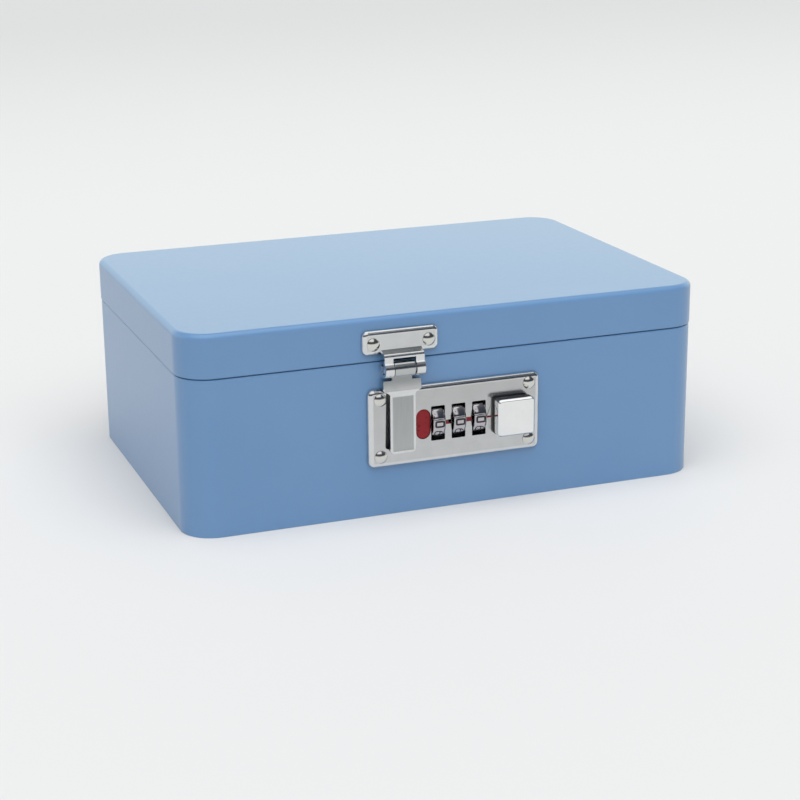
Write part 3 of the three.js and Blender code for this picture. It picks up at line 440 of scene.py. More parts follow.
def tongue_nickel():
    """The hasp tongue's nickel: polished along the rim, and brushed duller within the panel, which a
    painted reflection also darkens, most towards its top. The shoulders and the knuckle above them are
    darkened as painted shade."""
    f = Finish("tongue_nickel", (0.6, 0.61, 0.61), 0.2, 1.0)
    low, high = TONGUE_LOW + PANEL_RIM, PANEL_TOP
    panel = f.inside(TONGUE_X, (low + high) / 2, TONGUE - 2 * PANEL_RIM + 0.3, high - low + 0.3, 0.4)
    brushed = f.noise(1800, 3, 0.6, f.stretched((1, 1, 0.06)))
    haze = f.noise(220, 4, 0.6)
    # Painted reflection: the panel's colour darkens towards its top
    height = f.part("Z").between(low * MM, high * MM, False)
    inner = f.blend(height, (0.46, 0.475, 0.47), (0.38, 0.39, 0.39))
    inner = f.blend(brushed.between(0.3, 0.7) * 0.3, inner, (0.52, 0.53, 0.54))
    outer = f.blend(haze.between(0.35, 0.7), (0.73, 0.74, 0.74), (0.68, 0.695, 0.69))
    # Painted shade: the shoulders and the knuckle above them are darker than the rim
    shoulder = f.part("Z").between(SHOULDER_LOW * MM, SHOULDER_TOP * MM)
    outer = f.blend(shoulder, outer, (0.50, 0.52, 0.52))
    f.set("Base Color", f.blend(panel, outer, inner))
    f.set("Roughness", 0.12 + 0.06 * haze + panel * (0.12 + 0.12 * brushed))
    f.bump(panel * brushed, 0.004)
    return f.material


def chrome(name, colour):
    """Mirror-bright plating with a faint haze and a few fine wipe marks."""
    f = Finish(name, colour, 0.05, 1.0)
    haze = f.noise(300, 3, 0.6)
    wipe = f.noise(2400, 1, 0.5, f.stretched((1, 0.05, 0.4), (0.3, 0.2, 0.6))).between(0.66, 0.72)
    f.set("Base Color", f.blend(haze.between(0.3, 0.7) * 0.5, colour, tuple(0.93 * c for c in colour)))
    f.set("Roughness", 0.04 + 0.05 * haze + 0.05 * wipe)
    f.bump(haze, 0.0015)
    return f.material


def zinc():
    """Zinc-plated sheet: a faint crystal pattern in tone and sheen."""
    f = Finish("zinc_steel", (0.5, 0.51, 0.52), 0.38, 1.0)
    flake = f.spots(500, randomness=0.9)
    cloud = f.noise(120, 4, 0.6)
    f.set("Base Color", f.blend(flake.between(0.1, 0.8), (0.44, 0.45, 0.46), (0.57, 0.58, 0.585)))
    f.set("Roughness", 0.3 + 0.16 * cloud + 0.05 * flake)
    f.bump(cloud, 0.004)
    return f.material


def grained(name, colour, roughness, metallic, noise, tones, rough, height, stretch=None, sharper=None,
            **sockets):
    """A finish whose tone, roughness and height all follow one fine noise. Sharper gives the part
    of the noise over which the tone changes."""
    f = Finish(name, colour, roughness, metallic, **sockets)
    grain = f.noise(*noise, f.stretched(stretch) if stretch else None)
    f.set("Base Color", f.blend(grain.between(*sharper) if sharper else grain, *tones))
    f.set("Roughness", rough[0] + rough[1] * grain)
    f.bump(grain, height)
    return f.material


def spring_steel():
    """Drawn spring steel: fine marks along its length and a slightly darker tone."""
    return grained("spring_steel", (0.42, 0.42, 0.44), 0.25, 1.0, (2200, 2, 0.5),
                   ((0.37, 0.37, 0.39), (0.49, 0.49, 0.505)), (0.2, 0.14), 0.003, (0.05, 1, 1))


def black_plastic():
    """Moulded black plastic with a faint spark-eroded texture."""
    return grained("black_plastic", (0.012, 0.012, 0.013), 0.35, 0.0, (2600, 2, 0.55),
                   ((0.010, 0.010, 0.011), (0.018, 0.018, 0.019)), (0.28, 0.14), 0.006)


def red_plastic():
    """Deep red moulded plastic, a little uneven in tone and sheen."""
    return grained("red_plastic", (0.222, 0.0105, 0.016), 0.35, 0.0, (700, 3, 0.5),
                   ((0.205, 0.009, 0.013), (0.240, 0.012, 0.018)), (0.24, 0.1), 0.004,
                   sharper=(0.3, 0.7), IOR=1.33)


def digit_paint():
    """Black paint wiped into the etched digits, uneven and matt."""
    return grained("digit_paint", (0.02, 0.021, 0.026), 0.5, 0.0, (3000, 2, 0.6),
                   ((0.006, 0.006, 0.009), (0.018, 0.018, 0.024)), (0.42, 0.2), 0.004)


# Sizes in millimetres. The box, as in the CAD part: the body's wall stands back by STEP, steps in
# at the seam and rises inside the lid by NECK_RISE
LENGTH, WIDTH, HEIGHT = 195.0, 135.0, 72.0
SHEET = 0.8
CORNER, LID_EDGE = 12.0, 2.0
SEAM, SEAM_GAP, STEP, NECK_GAP, NECK_RISE = 56.5, 0.3, 0.2, 0.35, 6.0
SHOULDER_ROUND, HEM_ROUND, HEM_RISE = 0.6, 0.45, 3.5
FRONT, REAR = -WIDTH / 2, WIDTH / 2
HINGE_X, HINGE_Z, HINGE_RIVET_X, HINGE_RIVET_Z = 60.0, 56.35, 7.5, 9.0
HINGE_RIVET_HEAD, HINGE_RIVET_DOME, HINGE_RIVET_GRIP, HINGE_LEAF = 1.8, 0.8, 1.66, 0.84

# The lock: face plate, the opening in the wall behind it, wheels, marks, oval and button
LOCK_X, LOCK_Z = -0.2, 32.65
PLATE_LENGTH, PLATE_HEIGHT, PLATE_OUT, PLATE_EDGE, PLATE_CORNER = 65.0, 28.6, 2.0, 1.9, 2.4
PLATE_FACE, PLATE_Z = FRONT - PLATE_OUT, LOCK_Z - 0.25
OPENING_LEFT, OPENING_RIGHT = LOCK_X - 26.4, LOCK_X + 26
OPENING_LOW, OPENING_HIGH = LOCK_Z - 11.05, LOCK_Z + 11.75
WHEEL_PITCH, WHEEL_WIDTH, WHEEL_FLATS, WHEEL_OUT, WHEEL_BORE = 7.75, 4.7, 12.3, 2.0, 1.1
DIGITS, WHEEL_GROOVE, WHEEL_ROUND = 10, 0.46, 0.3
WHEEL_XS = tuple(LOCK_X + 1.05 + k * WHEEL_PITCH for k in (-1, 0, 1))
WHEEL_Y, WHEEL_Z = PLATE_FACE - WHEEL_OUT + WHEEL_FLATS / 2, LOCK_Z - 0.4
WINDOW_WIDTH, WINDOW_HEIGHT = WHEEL_WIDTH + 0.5, 12.6
FACET_ROUND, FACET_CROWN = 6.9, 19.6
ZERO_STROKE, STROKE, DIGIT_OUT, DIGIT_IN = 0.68, 0.4, 0.02, 0.03
MARK_WIDTH, MARK_HEIGHTS, MARK_DEPTH = WHEEL_PITCH - WINDOW_WIDTH - 0.5, (1.6, 1.6, 0.7), 0.3
OVAL_X, OVAL_Z, OVAL_WIDTH, OVAL_HEIGHT = LOCK_X - 12.2, LOCK_Z - 0.25, 5.4, 10.9
BUTTON_X, BUTTON_Z = LOCK_X + 21.1, LOCK_Z - 0.07
BUTTON_LENGTH, BUTTON_HEIGHT, BUTTON_OUT, BUTTON_BASE = 14.0, 13.56, 5.6, 1.75
EDGE_TILT, EDGE_FLAT, EDGE_ROUND, BUTTON_CROWN = 54, 0.8, 0.25, 0.03
CORE_X, CORE_Z, CORE_LENGTH, CORE_HEIGHT = LOCK_X + 20.8, LOCK_Z - 0.15, 13.6, 13.9
SPRING_X, SPRING_Z, SPRING_LENGTH = 19.17, 29.0, 5.69
SPRING_RADIUS, SPRING_WIRE, SPRING_TURNS = 1.19, 0.21, 5

# Rivets and the hasp: its plate on the lid, the neck over the seam, the knuckles and the tongue
RIVET_HEAD, RIVET_DOME, RIVET_RIM, RIVET_SHANK, RIVET_HOLE = 2.3, 1.15, 0.2, 1.2, 1.3
HASP_X, HASP_LENGTH, HASP_LOW, HASP_HIGH = -20.3, 28.2, SEAM + 2.4, SEAM + 11.3
HASP_OUT, HASP_EDGE, HASP_CORNER, HASP_SHEET = 1.9, 1.7, 2.2, 1.2
PIN_OUT, PIN_Z, BARREL, HASP_WIDTH = 3.65, SEAM - 2.3, 2.9, 14.6
NECK_OUT, NECK_BEND_Z, NECK_BEND, NECK_TILT = 5.15, SEAM + 2.15, 1.3, 68
KNUCKLE, KNUCKLE_GAP, SLOT_TOP = 7.5, 0.4, SEAM + 1.8
SHOULDER, SHOULDER_TOP, SHOULDER_LOW, TAPER = 13.9, SEAM - 6.7, SEAM - 10.2, 1.4
TONGUE, TONGUE_LOW, TONGUE_BEND_Z, TONGUE_CORNER = 9.5, SEAM - 33.2, SEAM - 11.2, 1.5
TONGUE_OUT = PLATE_OUT + 0.4 + HASP_SHEET
PANEL_TOP, PANEL_RIM, PANEL_SUNK = SEAM - 12.45, 0.85, 0.08
TONGUE_X = HASP_X - 0.15
NOTCH_X, NOTCH_WIDTH, NOTCH_LOW, NOTCH_RADIUS, NOTCH_FLARE = LOCK_X - 20.45, 10.9, LOCK_Z - 7.85, 1.2, 1.8
NOTCH_SLANT = 0.5
LOCK_GRIP, HASP_GRIP, SEATED = PLATE_OUT + 1.88, HASP_OUT + 0.86, 0.02
LOCK_RIVETS = [(LOCK_X + x, LOCK_Z + z) for x in (-28.05, 28.05) for z in (10.35, -10.35)]
HASP_RIVETS = [(HASP_X - 10.2, SEAM + 6.5), (HASP_X + 10.2, SEAM + 6.5)]


def flat_face(x, z, length, height, edge):
    """The flat face of a pressed plate: its middle, and its size a little over the rounded edge."""
    return x, z, length - 2 * edge + 0.4, height - 2 * edge + 0.4


# The finishes: a material, and the slot it goes into
BLUE, ZINC, SPRING = (blue_paint(), "blue_paint"), (zinc(), "zinc_steel"), (spring_steel(), "spring_steel")
BLACK, DIGIT = (black_plastic(), "black_plastic"), (digit_paint(), "black_plastic")
RED = red_plastic(), "red_plastic"
NICKEL, TONGUE_NICKEL, RIVET_NICKEL, LOCK_NICKEL, HASP_NICKEL = [(material, "nickel_plate") for material in (
    nickel("nickel_plate", 0.63),
    tongue_nickel(),
    nickel("rivet_nickel", 0.68, (1.0, 0.99, 0.93)),
    nickel("lock_nickel", 0.69, (0.99, 1, 1), dull=0.83, painted_fade=0.35,
           face=flat_face(LOCK_X, PLATE_Z, PLATE_LENGTH, PLATE_HEIGHT, PLATE_EDGE)),
    nickel("hasp_nickel", 0.72, dull=0.87, face=flat_face(
        HASP_X, (HASP_LOW + HASP_HIGH) / 2, HASP_LENGTH, HASP_HIGH - HASP_LOW, HASP_EDGE)))]
CHROME, WHEEL_CHROME = [(chrome(name, colour), "bright_chrome") for name, colour in (
    ("bright_chrome", (0.87, 0.875, 0.87)), ("wheel_chrome", (0.52, 0.50, 0.52)))]


def box_ring(inset, steps=16):
    return rounded(LENGTH, WIDTH, CORNER, inset, steps, lead=0.6)


def lid_shell():
    """The lid's section carried round the box: flat top, quarter circle, skirt, folded hem and
    the inner face back to the middle."""
    r, hem, e = LID_EDGE, 2 * SHEET, HEM_ROUND
    section = np.vstack([
        [[r + 0.5, HEIGHT]],
        arc(r, HEIGHT - r, r, 90, 180, 10),
        [[0, HEIGHT - r - 0.5], [0, SEAM + e + 0.4]],
        arc(e, SEAM + e, e, 180, 270, 5),
        arc(hem - e, SEAM + e, e, 270, 360, 5),
        [[hem, SEAM + e + 0.4], [hem, SEAM + HEM_RISE - 0.2]],
        arc(hem - 0.3, SEAM + HEM_RISE, 0.3, 0, 60, 3),
        [[SHEET, SEAM + HEM_RISE + 0.7], [SHEET, HEIGHT - r - 0.4]],
        arc(r, HEIGHT - r, r - SHEET, 180, 90, 8),
        [[r + 0.5, HEIGHT - SHEET]],
    ])
    return place(eased(carried("lid_shell_painted", section, box_ring), 0), "lid", BLUE, "lid_shell")


def body_shell():
    """The body's closed section carried round the box, then cut open behind the lock."""
    o, i, neck = STEP, STEP + SHEET, 2 * SHEET + NECK_GAP
    shoulder, r, s = SEAM - SEAM_GAP, SHEET / 2, SHOULDER_ROUND
    top, inner = shoulder + NECK_RISE, neck + SHEET
    section = np.vstack([
        [[o + 0.12, 0], [o, 0.12], [o, 0.6], [o, shoulder - s - 0.4]],
        arc(o + s, shoulder - s, s, 180, 90, 6),
        [[neck - 0.1, shoulder], [neck, shoulder + 0.1], [neck, shoulder + 0.5], [neck, top - 0.8]],
        arc(neck + r, top - r, r, 180, 0, 10),
        [[inner, top - 0.8], [inner, shoulder - SHEET], [i + r, shoulder - SHEET],
         [i, shoulder - SHEET - r], [i, 0.2], [i - 0.12, 0]],
    ])
    piece = carried("body_shell_painted", section, box_ring, close=True)
    opening = box_outline(OPENING_LEFT, OPENING_LOW, OPENING_RIGHT, OPENING_HIGH, 1, 4)
    right, half = CORE_X + CORE_LENGTH / 2 - 0.05, CORE_HEIGHT / 2 + 0.3
    beside = box_outline(OPENING_RIGHT - 0.8, CORE_Z - half, right, CORE_Z + half)
    cutters = [prism("cut_wall", form, Y, FRONT - 3, FRONT + 5) for form in (opening, beside)]
    return place(eased(cut(piece, *cutters), 0), "box", BLUE, "body_shell")


def tray(name, length, height, corner, face, edge, rim, middle):
    """A pressed plate: a rounded outer edge, a flat face, and the same curve inside, one sheet
    further back, carried round a rounded rectangle and stood up against the front."""
    t = SHEET
    inner = max(edge - t, 0.1)
    section = np.vstack([
        [[edge + 0.35, face]],
        arc(edge, face - edge, edge, 90, 180, 8),
        [[0, rim + 0.12], [0.1, rim], [t, rim]],
        arc(t + inner, face - t - inner, inner, 180, 90, 3),
    ])
    piece = carried(name, section, lambda inset: rounded(length, height, corner, inset, 8, lead=0.3))
    return stand(piece, middle)


def rivet(body, node, at, head, dome, grip, outward=1):
    """A rivet turned about its shank: a head that is a piece of a ball on a short rim, shank, and
    clenched tail. Outward is 1 for a head on the front, -1 for one on the back."""
    cap = dome - RIVET_RIM
    ball = (head * head + cap * cap) / (2 * cap)
    edge = math.degrees(math.asin(head / ball))
    top = arc(0, 0, ball, 90 - 1, 90 - edge, 10)
    shank = RIVET_SHANK
    profile = np.vstack([
        np.stack([top[:, 0], ball - dome - top[:, 1]], -1),
        [[head, -0.06], [head - 0.06, 0], [shank, 0.0], [shank, grip], [1.8, grip], [1.9, grip + 0.2]],
        [[1.5, grip + 0.7], [0.6, grip + 0.9], [0.05, grip + 0.9]],
    ])
    profile[:, 1] *= outward
    piece = turned(f"{node}_domed", profile, 40, at)
    return place(eased(piece, 0), body, RIVET_NICKEL, node)


def around(x, z, width, height, radius=0.0, steps=6):
    """A rectangle about a place, with rounded corners."""
    return box_outline(x - width / 2, z - height / 2, x + width / 2, z + height / 2, radius, steps)


def lock_plate():
    """The pressed face plate with its windows, the holes for the oval, the staple, the button and
    the rivets, and the shallow grooves of the index marks."""
    piece = tray("lock_plate_pressed", PLATE_LENGTH, PLATE_HEIGHT, PLATE_CORNER, PLATE_OUT, PLATE_EDGE,
                 -0.18, (LOCK_X, FRONT, PLATE_Z))
    left, right, top = NOTCH_X - NOTCH_WIDTH / 2, NOTCH_X + NOTCH_WIDTH / 2, PLATE_Z + PLATE_HEIGHT / 2
    r, flare = NOTCH_RADIUS, NOTCH_FLARE
    notch = np.vstack([
        arc(left - NOTCH_SLANT + r, NOTCH_LOW + r, r, 180, 270, 6),
        arc(right - r, NOTCH_LOW + r, r, 270, 360, 6),
        arc(right + flare, top - flare, flare, 180, 90, 8),
        [[right + flare, top + 3], [left - flare, top + 3]],
        arc(left - flare, top - flare, flare, 90, 0, 8),
    ])
    holes = [around(x, WHEEL_Z, WINDOW_WIDTH, WINDOW_HEIGHT, 0.4, 3) for x in WHEEL_XS]
    holes += [around(OVAL_X, OVAL_Z, OVAL_WIDTH, OVAL_HEIGHT, OVAL_WIDTH / 2 - 0.01, 12), notch,
              around(CORE_X, CORE_Z, CORE_LENGTH - 0.3, CORE_HEIGHT - 0.3, 1, 5)]
    holes += [arc(x, z, RIVET_HOLE, 0, 345, 23) for x, z in LOCK_RIVETS]
    cutters = [prism(f"cut_plate_{i}", hole, Y, PLATE_FACE - 3, FRONT + 2) for i, hole in enumerate(holes)]
    for i, (x, tall) in enumerate(zip(WHEEL_XS, MARK_HEIGHTS)):
        groove = around(x + WHEEL_PITCH / 2, WHEEL_Z, MARK_WIDTH, tall)
        cutters.append(prism(f"cut_mark_{i}", groove, Y, PLATE_FACE - 1, PLATE_FACE + MARK_DEPTH))
    return place(eased(cut(piece, *cutters), 0.09), "box", LOCK_NICKEL, "lock_plate")


def red_oval():
    """A flat oval with a softly rounded rim and a shallow dish: the outline shrinks inwards as
    its depth behind the plate's face changes."""
    half_w, half_h = OVAL_WIDTH / 2 - 0.04, OVAL_HEIGHT / 2 - 0.04
    levels = [[0, 0.9], [0, 0.42], [0.05, 0.3], [0.16, 0.2], [0.34, 0.15], [0.6, 0.14], [0.95, 0.17],
              [1.4, 0.2], [2.0, 0.22]]
    rings = []
    for inset, depth in levels:
        outline = rounded(2 * half_w, 2 * half_h, half_w - 0.001, min(inset, half_w - 0.1), 14)
        rings.append(np.column_stack([outline[:, 0] + OVAL_X, np.full(len(outline), PLATE_FACE + depth),
                                      outline[:, 1] + OVAL_Z]))
    piece = skinned("red_oval_moulded", np.array(rings))
    around_hole = around(OVAL_X, OVAL_Z, OVAL_WIDTH + 0.6, OVAL_HEIGHT + 0.6, OVAL_WIDTH / 2 + 0.28, 10)
    flange = prism("oval_flange", around_hole, Y, PLATE_FACE + 0.82, PLATE_FACE + 1.32)
    return place(eased(joined(piece, flange), 0), "box", RED, "red_oval")


def index_mark(number, x):
    tall = MARK_HEIGHTS[number - 1]
    outline = around(x + WHEEL_PITCH / 2, WHEEL_Z, MARK_WIDTH - 0.04, tall - 0.04, 0.15, 3)
    piece = prism(f"index_mark_{number}_filled", outline, Y, PLATE_FACE + 0.07, PLATE_FACE + 0.28)
    return place(eased(piece, 0.04), "box", RED, f"index_mark_{number}")


def number_wheel(number, x):
    """A ten-sided roller: each facet sinks by its crown, the corner between two facets by a
    groove, and the section shrinks towards both side faces along a quarter circle."""
    flat, turn, r = WHEEL_FLATS / 2, math.pi / DIGITS, WHEEL_ROUND
    half = flat * math.tan(turn)
    up = np.linspace(-0.88, 0.88, 11) * half
    facet = np.stack([flat - crown(0, up), up], -1)
    low = facet[-1, 0]
    lip = np.array([[low - 0.04, half * 0.92], [low - 0.1, half * 0.97]])
    corner = flat / math.cos(turn) - WHEEL_GROOVE
    middle = [[corner * math.cos(turn), corner * math.sin(turn)]]
    one = np.vstack([lip[::-1] * [1, -1], facet, lip, middle])
    angles = 2 * np.pi * np.arange(DIGITS) / DIGITS
    rot = np.stack([np.cos(angles), -np.sin(angles), np.sin(angles), np.cos(angles)], -1).reshape(-1, 2, 2)
    outline = (one[None] @ rot.transpose(0, 2, 1)).reshape(-1, 2)
    radius = np.linalg.norm(outline, axis=1)[:, None]
    edge = arc(r, r, r, 180, 270, 4)
    inner = np.linspace(r, WHEEL_WIDTH - r, 13)[1:-1]
    profile = np.vstack([edge, np.column_stack([0 * inner, inner]), np.abs(edge[::-1] - [0, WHEEL_WIDTH])])
    rings = []
    for shrink, inward in profile:
        shrink = shrink + crown(inward - WHEEL_WIDTH / 2, 0)
        level = outline * (radius - shrink) / radius
        rings.append(np.column_stack([np.full(len(level), x - WHEEL_WIDTH / 2 + inward),
                                      WHEEL_Y - level[:, 0], WHEEL_Z + level[:, 1]]))
    piece = skinned(f"number_wheel_{number}_facets", np.array(rings))
    bore = prism("cut_bore", arc(WHEEL_Y, WHEEL_Z, WHEEL_BORE, 0, 345, 23), X, x - 4, x + 4)
    shade(cut(piece, bore).data, 12)
    return place(eased(piece, 0), f"wheel_{number}", WHEEL_CHROME, f"number_wheel_{number}")


def crown(across, up):
    """How far a facet lies below its own middle: the sagittas of two wide circles, one across the
    wheel and one round it."""
    return across ** 2 / (2 * FACET_CROWN) + up ** 2 / (2 * FACET_ROUND)


def loop(u, v, half_w, half_h, start=0, end=360, steps=24, power=2.4):
    """Points on a superellipse about (u, v)."""
    angle = np.radians(np.linspace(start, end, steps + 1))
    c, s = np.cos(angle), np.sin(angle)
    return np.stack([u + half_w * np.sign(c) * np.abs(c) ** (2 / power),
                     v + half_h * np.sign(s) * np.abs(s) ** (2 / power)], -1)


def digit_strokes():
    """The centre lines of the strokes of 0 to 9, in a field about 2.6 wide and 3.6 high."""
    w, h = 1.08, 1.58
    return [
        [loop(0, -0.05, w - 0.14, h - 0.08, steps=48, power=7)],
        [np.array([[0, h], [0, -h]])],
        [np.vstack([loop(0, h - 0.85, w, 0.85, 165, -20, 16), [[-w, -h], [w, -h]]])],
        [loop(-0.1, 0.82, w - 0.1, 0.76, 160, -82, 16), loop(-0.1, -0.76, w, 0.82, 82, -160, 16)],
        [np.array([[0.45, -h], [0.45, h], [-w, -0.6], [w, -0.6]])],
        [np.vstack([[[w - 0.1, h], [-w + 0.15, h], [-w + 0.05, 0.25]],
                    loop(-0.05, -0.6, w, 0.98, 125, -150, 18)])],
        [loop(0, -0.62, w, 0.96, steps=28, power=2.6),
         np.array([[-w, -0.62], [-w + 0.1, 0.5], [-0.4, 1.3], [0.7, h]])],
        [np.array([[-w, h], [w, h], [0.1, 0], [-0.35, -h]])],
        [loop(0, 0.82, w - 0.12, 0.74, power=2.6), loop(0, -0.75, w, 0.83, power=2.6)],
        [loop(0, 0.62, w, 0.96, steps=28, power=2.6),
         np.array([[w, 0.62], [w - 0.1, -0.5], [0.4, -1.3], [-0.7, -h]])],
    ]


def digits(number, x):
    """The ten digits of a wheel: each stroke is a strip of even width that follows its centre
    line, laid on its crowned facet with its top to the left."""
    vertices, faces, count = [], [], 0
    for digit, strokes in enumerate(digit_strokes()):
        for line in strokes:
            closed = np.allclose(line[0], line[-1])
            if closed:
                line = line[:-1]
                nearby = np.vstack([line[-1:], line, line[:1]])
            else:
                nearby = np.vstack([2 * line[:1] - line[1:2], line, 2 * line[-1:] - line[-2:-1]])
            step = np.diff(nearby, axis=0)
            out = sideways(step[:-1], step[1:], STROKE if digit else ZERO_STROKE, 0.4)
            strip = np.stack([line + out, line - out, line - out, line + out], 1)
            depth = np.array([DIGIT_OUT, DIGIT_OUT, -DIGIT_IN, -DIGIT_IN])
            u, v = -strip[..., 1], strip[..., 0]
            angle = 2 * math.pi * digit / DIGITS
            radial = WHEEL_FLATS / 2 + depth[None, :] - crown(u, v)
            px = x + u
            py = WHEEL_Y - (radial * math.cos(angle) - v * math.sin(angle))
            pz = WHEEL_Z + (radial * math.sin(angle) + v * math.cos(angle))
            points = np.stack([px, py, pz], -1)
            n = len(line)
            quads = grid_faces(n, 4, rows_close=closed) + count
            vertices.append(points.reshape(-1, 3))
            faces += [list(q) for q in quads]
            if not closed:
                faces += [[count + k for k in range(4)], [count + (n - 1) * 4 + k for k in range(4)]]
            count += n * 4
    piece = solid(f"digits_{number}", np.vstack(vertices), faces)
    return place(piece, f"wheel_{number}", DIGIT)


def button():
    """The chrome cap: a rounded outline carried back from the front face round an edge of two
    small arcs with a narrow flat between them, the face itself crowned by a hair."""
    front, base, r, tilt = BUTTON_OUT, BUTTON_BASE, EDGE_ROUND, math.radians(EDGE_TILT)
    run, drop, rim = EDGE_FLAT * math.cos(tilt), EDGE_FLAT * math.sin(tilt), front - BUTTON_CROWN
    section = np.vstack([
        [[r + run + 2.5, front], [r + run + 0.9, front - 0.4 * BUTTON_CROWN], [r + run + 0.25, rim]],
        arc(r + run, rim - r, r, 90, 90 + EDGE_TILT, 6),
        arc(r, rim - r - drop, r, 90 + EDGE_TILT, 180, 6),
        [[0, base + 0.25], [0.08, base + 0.06], [0.3, base]],
    ])

    def outline_at(inset):
        """The square outline, whose corner radius shrinks with it but never under 0.4."""
        return rounded(BUTTON_LENGTH - 2 * inset, BUTTON_HEIGHT - 2 * inset, max(1.3 - inset, 0.4), 0, 8)

    piece = stand(carried("button_cap_chromed", section, outline_at), (BUTTON_X, PLATE_FACE, BUTTON_Z))
    return place(eased(piece, 0), "button", CHROME, "button_cap")


def hasp_plate():
    """The pressed plate on the lid's skirt, joined to the neck: a strip that slopes out of the
    plate, bends down ahead of the seam and rolls round the pin, slotted for the tongue's knuckle."""
    half, roll = HASP_SHEET / 2, BARREL - HASP_SHEET / 2
    plate = tray("hasp_plate_pressed", HASP_LENGTH, HASP_HIGH - HASP_LOW, HASP_CORNER, HASP_OUT, HASP_EDGE,
                 0.02, (HASP_X, FRONT, (HASP_LOW + HASP_HIGH) / 2))
    neck, bend, tilt = NECK_OUT - half, NECK_BEND - half, math.radians(NECK_TILT)
    slope = neck - bend * (1 - math.cos(tilt))
    deep = HASP_OUT - SHEET / 2
    root = NECK_BEND_Z + bend * math.sin(tilt) + (slope - deep) / math.tan(tilt)
    wrap = math.degrees(math.acos((PIN_OUT - neck) / roll))
    line = np.vstack([
        [[-deep, root]],
        arc(bend - neck, NECK_BEND_Z, bend, 180 - NECK_TILT, 180, 8),
        arc(-PIN_OUT, PIN_Z, roll, wrap, 390, 36),
    ]) + [FRONT, 0]
    wide = HASP_WIDTH / 2
    strip = prism("neck", sheet_section(line, HASP_SHEET), X, HASP_X - wide, HASP_X + wide)
    gap = KNUCKLE / 2 + KNUCKLE_GAP
    slot = prism("cut_slot", box_outline(FRONT - 12, PIN_Z - 5, FRONT + 0.1, SLOT_TOP), X,
                 HASP_X - gap, HASP_X + gap)
    holes = [prism(f"cut_hasp_{i}", arc(x, z, RIVET_HOLE, 0, 345, 23), Y, FRONT - 3, FRONT + 2)
             for i, (x, z) in enumerate(HASP_RIVETS)]
    piece = cut(joined(plate, strip), slot, *holes)
    return place(eased(piece, 0.1), "lid", HASP_NICKEL, "hasp_plate")


def hasp_tongue():
    """A strip rolled round the pin that slants outwards past wide shoulders, bends level with the
    lock and runs down as a tongue with a shallow sunk panel."""
    half, roll = HASP_SHEET / 2, BARREL - HASP_SHEET / 2
    out = TONGUE_OUT - half
    slant = math.atan2(out - (PIN_OUT - roll), PIN_Z - TONGUE_BEND_Z)
    along = np.array([-math.sin(slant), -math.cos(slant)])
    corner = np.array([-out, TONGUE_BEND_Z])
    line = np.vstack([
        arc(-PIN_OUT, PIN_Z, roll, 255, -math.degrees(slant), 34),
        [corner - along * 0.7, corner - along * 0.35 + [0.012, 0], corner + [0.045, 0],
         corner + [0.012, -0.35], corner + [0, -0.7], [-out, TONGUE_LOW]],
    ]) + [FRONT, 0]
    strip = prism("hasp_tongue_sheet", sheet_section(line, HASP_SHEET), X,
                  TONGUE_X - SHOULDER, TONGUE_X + SHOULDER)
    knuckle, shoulder, tongue = KNUCKLE / 2, SHOULDER / 2, TONGUE / 2
    r, low = 0.3, SHOULDER_LOW
    right = np.vstack([
        [[tongue, low - TAPER - 0.4], [tongue + 0.06, low - TAPER - 0.1],
         [tongue + 0.2, low - TAPER + 0.12]],
        [[shoulder - 0.18, low - 0.2], [shoulder - 0.04, low], [shoulder, low + 0.25]],
        arc(shoulder - r, SHOULDER_TOP - r, r, 0, 90, 5), [[knuckle, SHOULDER_TOP], [knuckle, PIN_Z + 4]],
    ])
    foot = arc(tongue - TONGUE_CORNER, TONGUE_LOW + TONGUE_CORNER, TONGUE_CORNER, 270, 360, 8)
    outline = np.vstack([foot, right])
    outline = np.vstack([outline, (outline * [-1, 1])[::-1]]) + [TONGUE_X, 0]
    piece = within(strip, prism("limit", outline, Y, FRONT - 12, FRONT + 2))
    return place(eased(cut(piece, panel_dish()), 0.16, 3), "hasp", TONGUE_NICKEL, "hasp_tongue")


def panel_dish():
    """A shallow dish with sloping sides, which sinks the tongue's panel."""
    low, high, depth = TONGUE_LOW + PANEL_RIM, PANEL_TOP, PANEL_SUNK
    section = [[-0.6, 0.6], [0, 0.02], [0.1, -0.01], [0.5, -depth * 0.9], [0.8, -depth]]
    dish = carried("cut_dish", section, lambda inset: rounded(
        TONGUE - 2 * PANEL_RIM, high - low, 0.8, inset, 5))
    return stand(dish, (TONGUE_X, FRONT - TONGUE_OUT, (low + high) / 2))


def latch_spring():
    """A round wire on a helix: the angle grows evenly while the point moves along X."""
    t = np.linspace(0, 1, 181)
    angle = 2 * np.pi * SPRING_TURNS * t
    path = np.stack([SPRING_X + SPRING_WIRE + t * (SPRING_LENGTH - 2 * SPRING_WIRE),
                     WHEEL_Y + SPRING_RADIUS * np.cos(angle), SPRING_Z + SPRING_RADIUS * np.sin(angle)], -1)
    coil = place(tube("latch_spring_coiled", path, SPRING_WIRE, 10), "box", SPRING, "latch_spring")
    WHEEL_Y * MM
    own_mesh(coil)


lid_shell()
body_shell()
lock_plate()
red_oval()
for n, x in enumerate(WHEEL_XS, 1):
    index_mark(n, x)
    number_wheel(n, x)
    digits(n, x)
for n, (x, z) in enumerate(LOCK_RIVETS, 1):
    rivet("box", f"lock_rivet_{n}", (x, PLATE_FACE - SEATED, z), RIVET_HEAD, RIVET_DOME, LOCK_GRIP)
for n, (x, z) in enumerate(HASP_RIVETS, 1):
    rivet("lid", f"hasp_rivet_{n}", (x, FRONT - HASP_OUT - SEATED, z), RIVET_HEAD, RIVET_DOME, HASP_GRIP)
button()
hasp_plate()
hasp_tongue()

